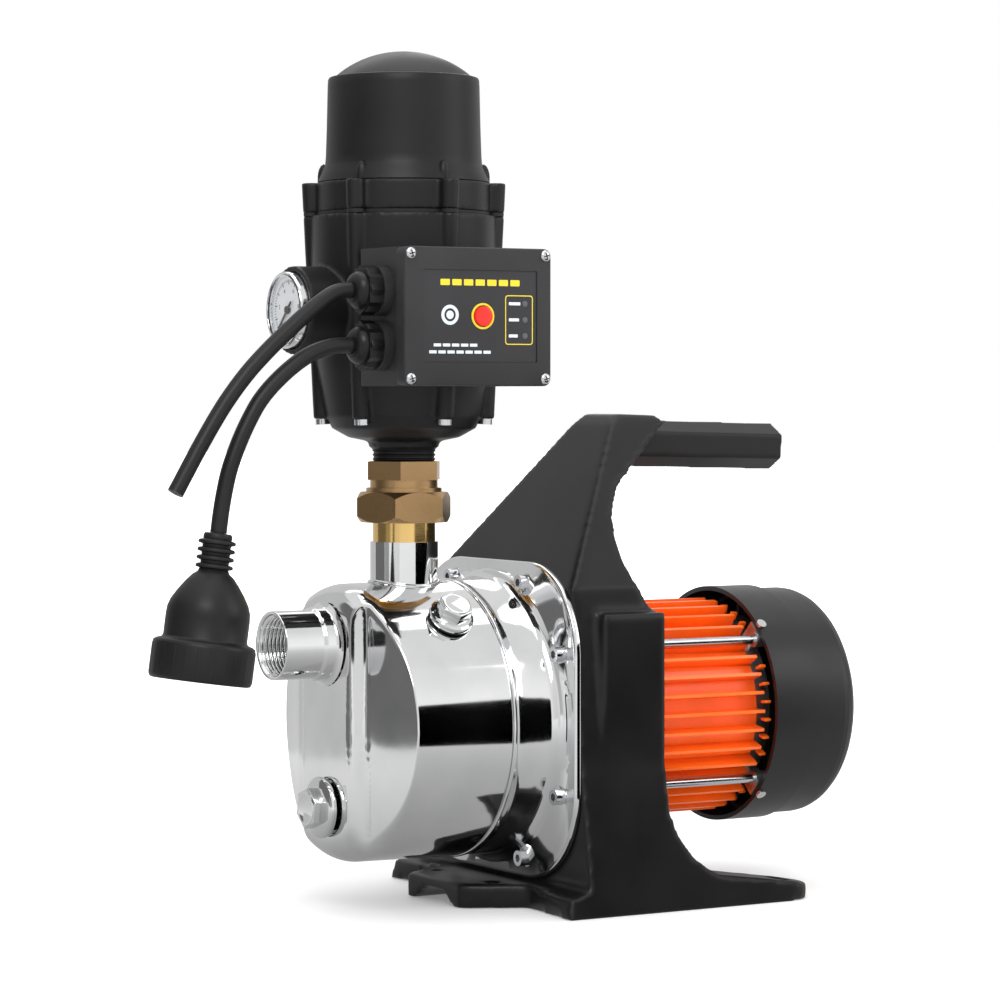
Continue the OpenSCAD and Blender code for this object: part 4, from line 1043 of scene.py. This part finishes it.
def make_button():
    """The red button in its ring, and the round badge beside it."""
    button = middle("reset_button")
    x, y = (button.x - COVER_LOW.x) / MM, (button.z - COVER_LOW.z) / MM
    place = on_cover(x, y, PRINT_LEVEL)
    bm = bmesh.new()
    add_lathe(bm, place, [(5.6, 0), (5.6, 0.5), (5.9, 0.75), (6.5, 0.75), (6.8, 0.5), (6.8, 0)], 64)
    piece("button_ring", bm, "pump", "dial_white", PRINT_YELLOW)
    top = (COVER_HIGH.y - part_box("reset_button")[0].y) / MM - PRINT_LEVEL
    bm = bmesh.new()
    add_lathe(bm, place, [(5.1, -3), (5.1, top - 0.6), (4.9, top - 0.2), (4.2, top), (0, top)], 64)
    dot = piece("reset_cap", bm, "button", "button_red")
    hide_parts("reset_button")
    badge = on_cover(x - 19.5, y + 0.5, PRINT_LEVEL)
    bm = bmesh.new()
    add_lathe(bm, badge, [(0, INK), (2.2, INK), (2.2, 0)], 40)
    add_lathe(bm, badge, [(3.4, 0), (3.4, INK), (5.2, INK), (5.2, 0)], 48)
    piece("round_badge", bm, "pump", "dial_white", PRINT_WHITE)


def make_cross_heads():
    """The cover's four domed screw heads, with painted shade for their cross recesses: dark crosses set into
    the domes' tops.
    """
    low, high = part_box("box_screws")
    r = 3
    bm, marks = bmesh.new(), bmesh.new()
    head = r * MM
    for x in (low.x + head, high.x - head):
        for z in (low.z + head, high.z - head):
            matrix = frame_to((x, low.y + 0.0016, z), (0, -1, 0))
            add_lathe(bm, matrix, [(0, -2.5), (1.4, -2.5), (1.4, -0.1), (r, -0.1), (r, 0.25), (r - 0.3, 0.8),
                                   (r - 1.1, 1.3), (0.9, 1.52), (0, 1.56)], 40)
            # Painted shade: a dark cross stands for the shade in each cross recess, which is not cut.
            for turn in (0.3, 0.3 + math.pi / 2):
                place = matrix @ Matrix.Rotation(turn, 4, "Z")
                add_prism(marks, place, rectangle(-1.7, -0.33, 1.7, 0.33, 0.2), 1.2, 1.585)
    heads = piece("cover_screw_heads", bm, "pump", "fastener_steel", angle=50)
    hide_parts("box_screws")
    piece("cover_screw_cross_shade", marks, "pump", "fastener_steel", DARK_PRINT_AND_SHADE)


make_cover()
make_label()
make_lamps()
make_button()
make_cross_heads()


# ---------- every CAD node that still shows ----------


def dress_cad_nodes():
    """Gives each CAD node that still shows the material of its slot and crisp shading."""
    for name, node in NODES.items():
        if node.hide_render:
            continue
        slot = SLOT_OF[name]
        node.data.materials.clear()
        node.data.materials.append(LOOKS[slot])
        smooth(node.data, 35)


dress_cad_nodes()


# ---------- studio ----------


# Reach of the floor's shading from the pump, in metres
FLOOR_REACH = 2.6
# Half the floor's width, in metres
FLOOR_HALF = 14
# Brightness of the floor in reflections, by the share of its reach from the pump: painted shade, dark near
# the pump and white far away
MIRRORED_FLOOR_PAINTED_SHADE = [(0.0, 0.3), (0.035, 0.42), (0.09, 0.56), (0.2, 0.74), (0.4, 0.92), (1.0, 1.0)]


def light_by_distance(tree, shader, stops, centre_x=0):
    """Makes a surface glow by its distance from a centre, where 1 in the stops is the centre itself."""
    coords = tree.nodes.new("ShaderNodeTexCoord")
    place = tree.nodes.new("ShaderNodeMapping")
    place.inputs["Location"].default_value = (-centre_x / FLOOR_REACH, 0, 0)
    place.inputs["Scale"].default_value = (1 / FLOOR_REACH, 1 / FLOOR_REACH, 1 / FLOOR_REACH)
    spread = tree.nodes.new("ShaderNodeTexGradient")
    spread.gradient_type = "SPHERICAL"
    tree.links.new(coords.outputs["Object"], place.inputs["Vector"])
    tree.links.new(place.outputs["Vector"], spread.inputs["Vector"])
    glow = ramp(tree, spread.outputs["Fac"], stops)
    tree.links.new(glow, shader.inputs["Emission Color"])
    shader.inputs["Emission Strength"].default_value = 1


def glowing_material(name):
    """A material that reflects nothing, for surfaces that only give light."""
    material, shader = new_material(name)
    shader.inputs["Base Color"].default_value = (0, 0, 0, 1)
    shader.inputs["Roughness"].default_value = 1
    shader.inputs["Specular IOR Level"].default_value = 0
    return material, shader


def floor_square(height):
    """The floor's one face."""
    bm = bmesh.new()
    corners = [(-FLOOR_HALF, -FLOOR_HALF), (FLOOR_HALF, -FLOOR_HALF), (FLOOR_HALF, FLOOR_HALF),
               (-FLOOR_HALF, FLOOR_HALF)]
    bm.faces.new([bm.verts.new((x, y, height)) for x, y in corners])
    return bm


def make_floor():
    """A plain pale floor with painted light: it glows, faintly near the pump and strongly far away, so that
    it reads white where the lamps fall off; it isn't seen in reflections.
    """
    material, shader = new_material("floor_white")
    tree = material.node_tree
    cloud = texture(tree, "ShaderNodeTexNoise", 3, 2)
    tint = ramp(tree, cloud.outputs["Fac"], [(0.3, 0.86), (0.7, 0.88)])
    tree.links.new(tint, shader.inputs["Base Color"])
    shader.inputs["Roughness"].default_value = 0.7
    shader.inputs["Specular IOR Level"].default_value = 0.2
    # Painted light: glow that grows with distance from the pump.
    light_by_distance(tree, shader, [(0.0, 1.0), (0.7, 0.45), (0.86, 0.2)])
    floor = mesh_object("floor", floor_square(-0.0002), material)
    floor.visible_glossy = False


def make_reflected_floor():
    """The floor that polished metal mirrors: a glowing card with painted shade, dark near the pump and bright
    far away.
    """
    material, shader = glowing_material("floor_mirrored")
    stops = [(1 - r, v) for r, v in reversed(MIRRORED_FLOOR_PAINTED_SHADE)]
    light_by_distance(material.node_tree, shader, stops, OUTLET.x)
    show_card("floor_card", floor_square(-0.0004), material)


def show_card(name, bm, material):
    """Adds a mesh that only reflections see."""
    card = mesh_object(name, bm, material)
    card.visible_camera = False
    card.visible_diffuse = False
    card.visible_shadow = False
    card.visible_transmission = False


# Painted reflections: these cards glow or stay black, light nothing and cast no shadow, and show only in the
# polished metal.
# Cards seen only in reflections: bearing from +X in degrees, distance, width, bottom, top and brightness
CARDS = [
    ("card_black_band", -58, 0.40, 0.34, 0.0, 0.205, 0.0),
    ("card_side", 78, 0.80, 0.55, 0.0, 0.9, 0.66),
    ("card_nose", 112, 0.80, 0.42, 0.0, 0.9, 0.58),
    ("card_scoop", 151, 0.52, 0.42, 0.04, 0.5, 0.16),
    ("card_scoop_end", 182, 0.56, 0.16, 0.04, 0.5, 0.34),
    ("card_left", 214, 0.95, 0.40, 0.0, 0.7, 0.8),
    ("card_right", -12, 1.3, 0.5, 0.0, 1.2, 0.35),
]


def make_card(name, bearing, distance, width, low, high, brightness):
    """A studio card standing round the pump end, seen only in reflections: a painted reflection that lights
    nothing.
    """
    material, shader = glowing_material(name)
    shader.inputs["Emission Color"].default_value = (1, 1, 1, 1)
    shader.inputs["Emission Strength"].default_value = brightness
    a = math.radians(bearing)
    out = Vector((math.cos(a), math.sin(a), 0))
    side = Vector((-out.y, out.x, 0)) * (width / 2)
    foot = Vector((OUTLET.x, 0, 0)) + out * distance
    bm = bmesh.new()
    corners = [foot - side, foot + side, foot + side, foot - side]
    heights = [low, low, high, high]
    bm.faces.new([bm.verts.new(c + Vector((0, 0, h))) for c, h in zip(corners, heights)])
    show_card(name, bm, material)


def add_light(name, place, target, size, power):
    """A square area light aimed at a point."""
    data = bpy.data.lights.new(name, "AREA")
    data.energy = power
    data.size = size
    lamp = bpy.data.objects.new(name, data)
    lamp.location = place
    lamp.rotation_mode = "QUATERNION"
    lamp.rotation_quaternion = (Vector(target) - Vector(place)).to_track_quat("-Z", "Y")
    bpy.context.scene.collection.objects.link(lamp)


# Brightness of the room round the horizon, from the share of a turn that starts at -X
ROOM_WALLS = [
    (0.0, 0.16), (0.05, 0.75), (0.2, 0.95), (0.29, 1.3), (0.4, 1.3), (0.6, 0.8), (0.76, 0.72), (0.81, 0.42),
    (0.87, 0.5), (0.905, 0.85), (0.935, 0.2), (1.0, 0.16),
]


def make_world():
    """Plain white for the camera, and a soft white room for light and reflections."""
    world = bpy.data.worlds.new("studio")
    bpy.context.scene.world = world
    world.use_nodes = True
    tree = world.node_tree
    tree.nodes.clear()
    out = tree.nodes.new("ShaderNodeOutputWorld")
    mix = tree.nodes.new("ShaderNodeMixShader")
    path = tree.nodes.new("ShaderNodeLightPath")
    room = tree.nodes.new("ShaderNodeBackground")
    plain = tree.nodes.new("ShaderNodeBackground")
    plain.inputs["Color"].default_value = (1, 1, 1, 1)
    plain.inputs["Strength"].default_value = 1.0
    room.inputs["Strength"].default_value = 0.85
    coords = tree.nodes.new("ShaderNodeTexCoord")
    split = tree.nodes.new("ShaderNodeSeparateXYZ")
    tree.links.new(coords.outputs["Generated"], split.inputs["Vector"])
    height = ramp(tree, split.outputs["Z"], [(0.0, 0.0), (0.3, 0.25), (0.7, 1.0)])
    round_room = tree.nodes.new("ShaderNodeTexGradient")
    round_room.gradient_type = "RADIAL"
    tree.links.new(coords.outputs["Generated"], round_room.inputs["Vector"])
    walls = ramp(tree, round_room.outputs["Fac"], ROOM_WALLS)
    blend = tree.nodes.new("ShaderNodeMixRGB")
    blend.inputs["Color2"].default_value = (1, 1, 1, 1)
    tree.links.new(height, blend.inputs["Fac"])
    tree.links.new(walls, blend.inputs["Color1"])
    tree.links.new(blend.outputs["Color"], room.inputs["Color"])
    tree.links.new(path.outputs["Is Camera Ray"], mix.inputs["Fac"])
    tree.links.new(room.outputs["Background"], mix.inputs[1])
    tree.links.new(plain.outputs["Background"], mix.inputs[2])
    tree.links.new(mix.outputs["Shader"], out.inputs["Surface"])


def make_studio():
    """The floor, the room, the lights and the cards."""
    make_floor()
    make_reflected_floor()
    make_world()
    target = at(0, 0, 100)
    add_light("key", (-1.6, -2.2, 2.4), target, 1.6, 40)
    add_light("fill", (2.4, -1.6, 1.5), target, 1.8, 15)
    add_light("top", (0.1, 0.2, 2.8), target, 2.4, 22)
    add_light("back", (0.8, 2.6, 1.8), target, 1.8, 18)
    for card in CARDS:
        make_card(*card)
    settings = bpy.context.scene.view_settings
    settings.view_transform = "Standard"
    settings.look = "None"


make_studio()
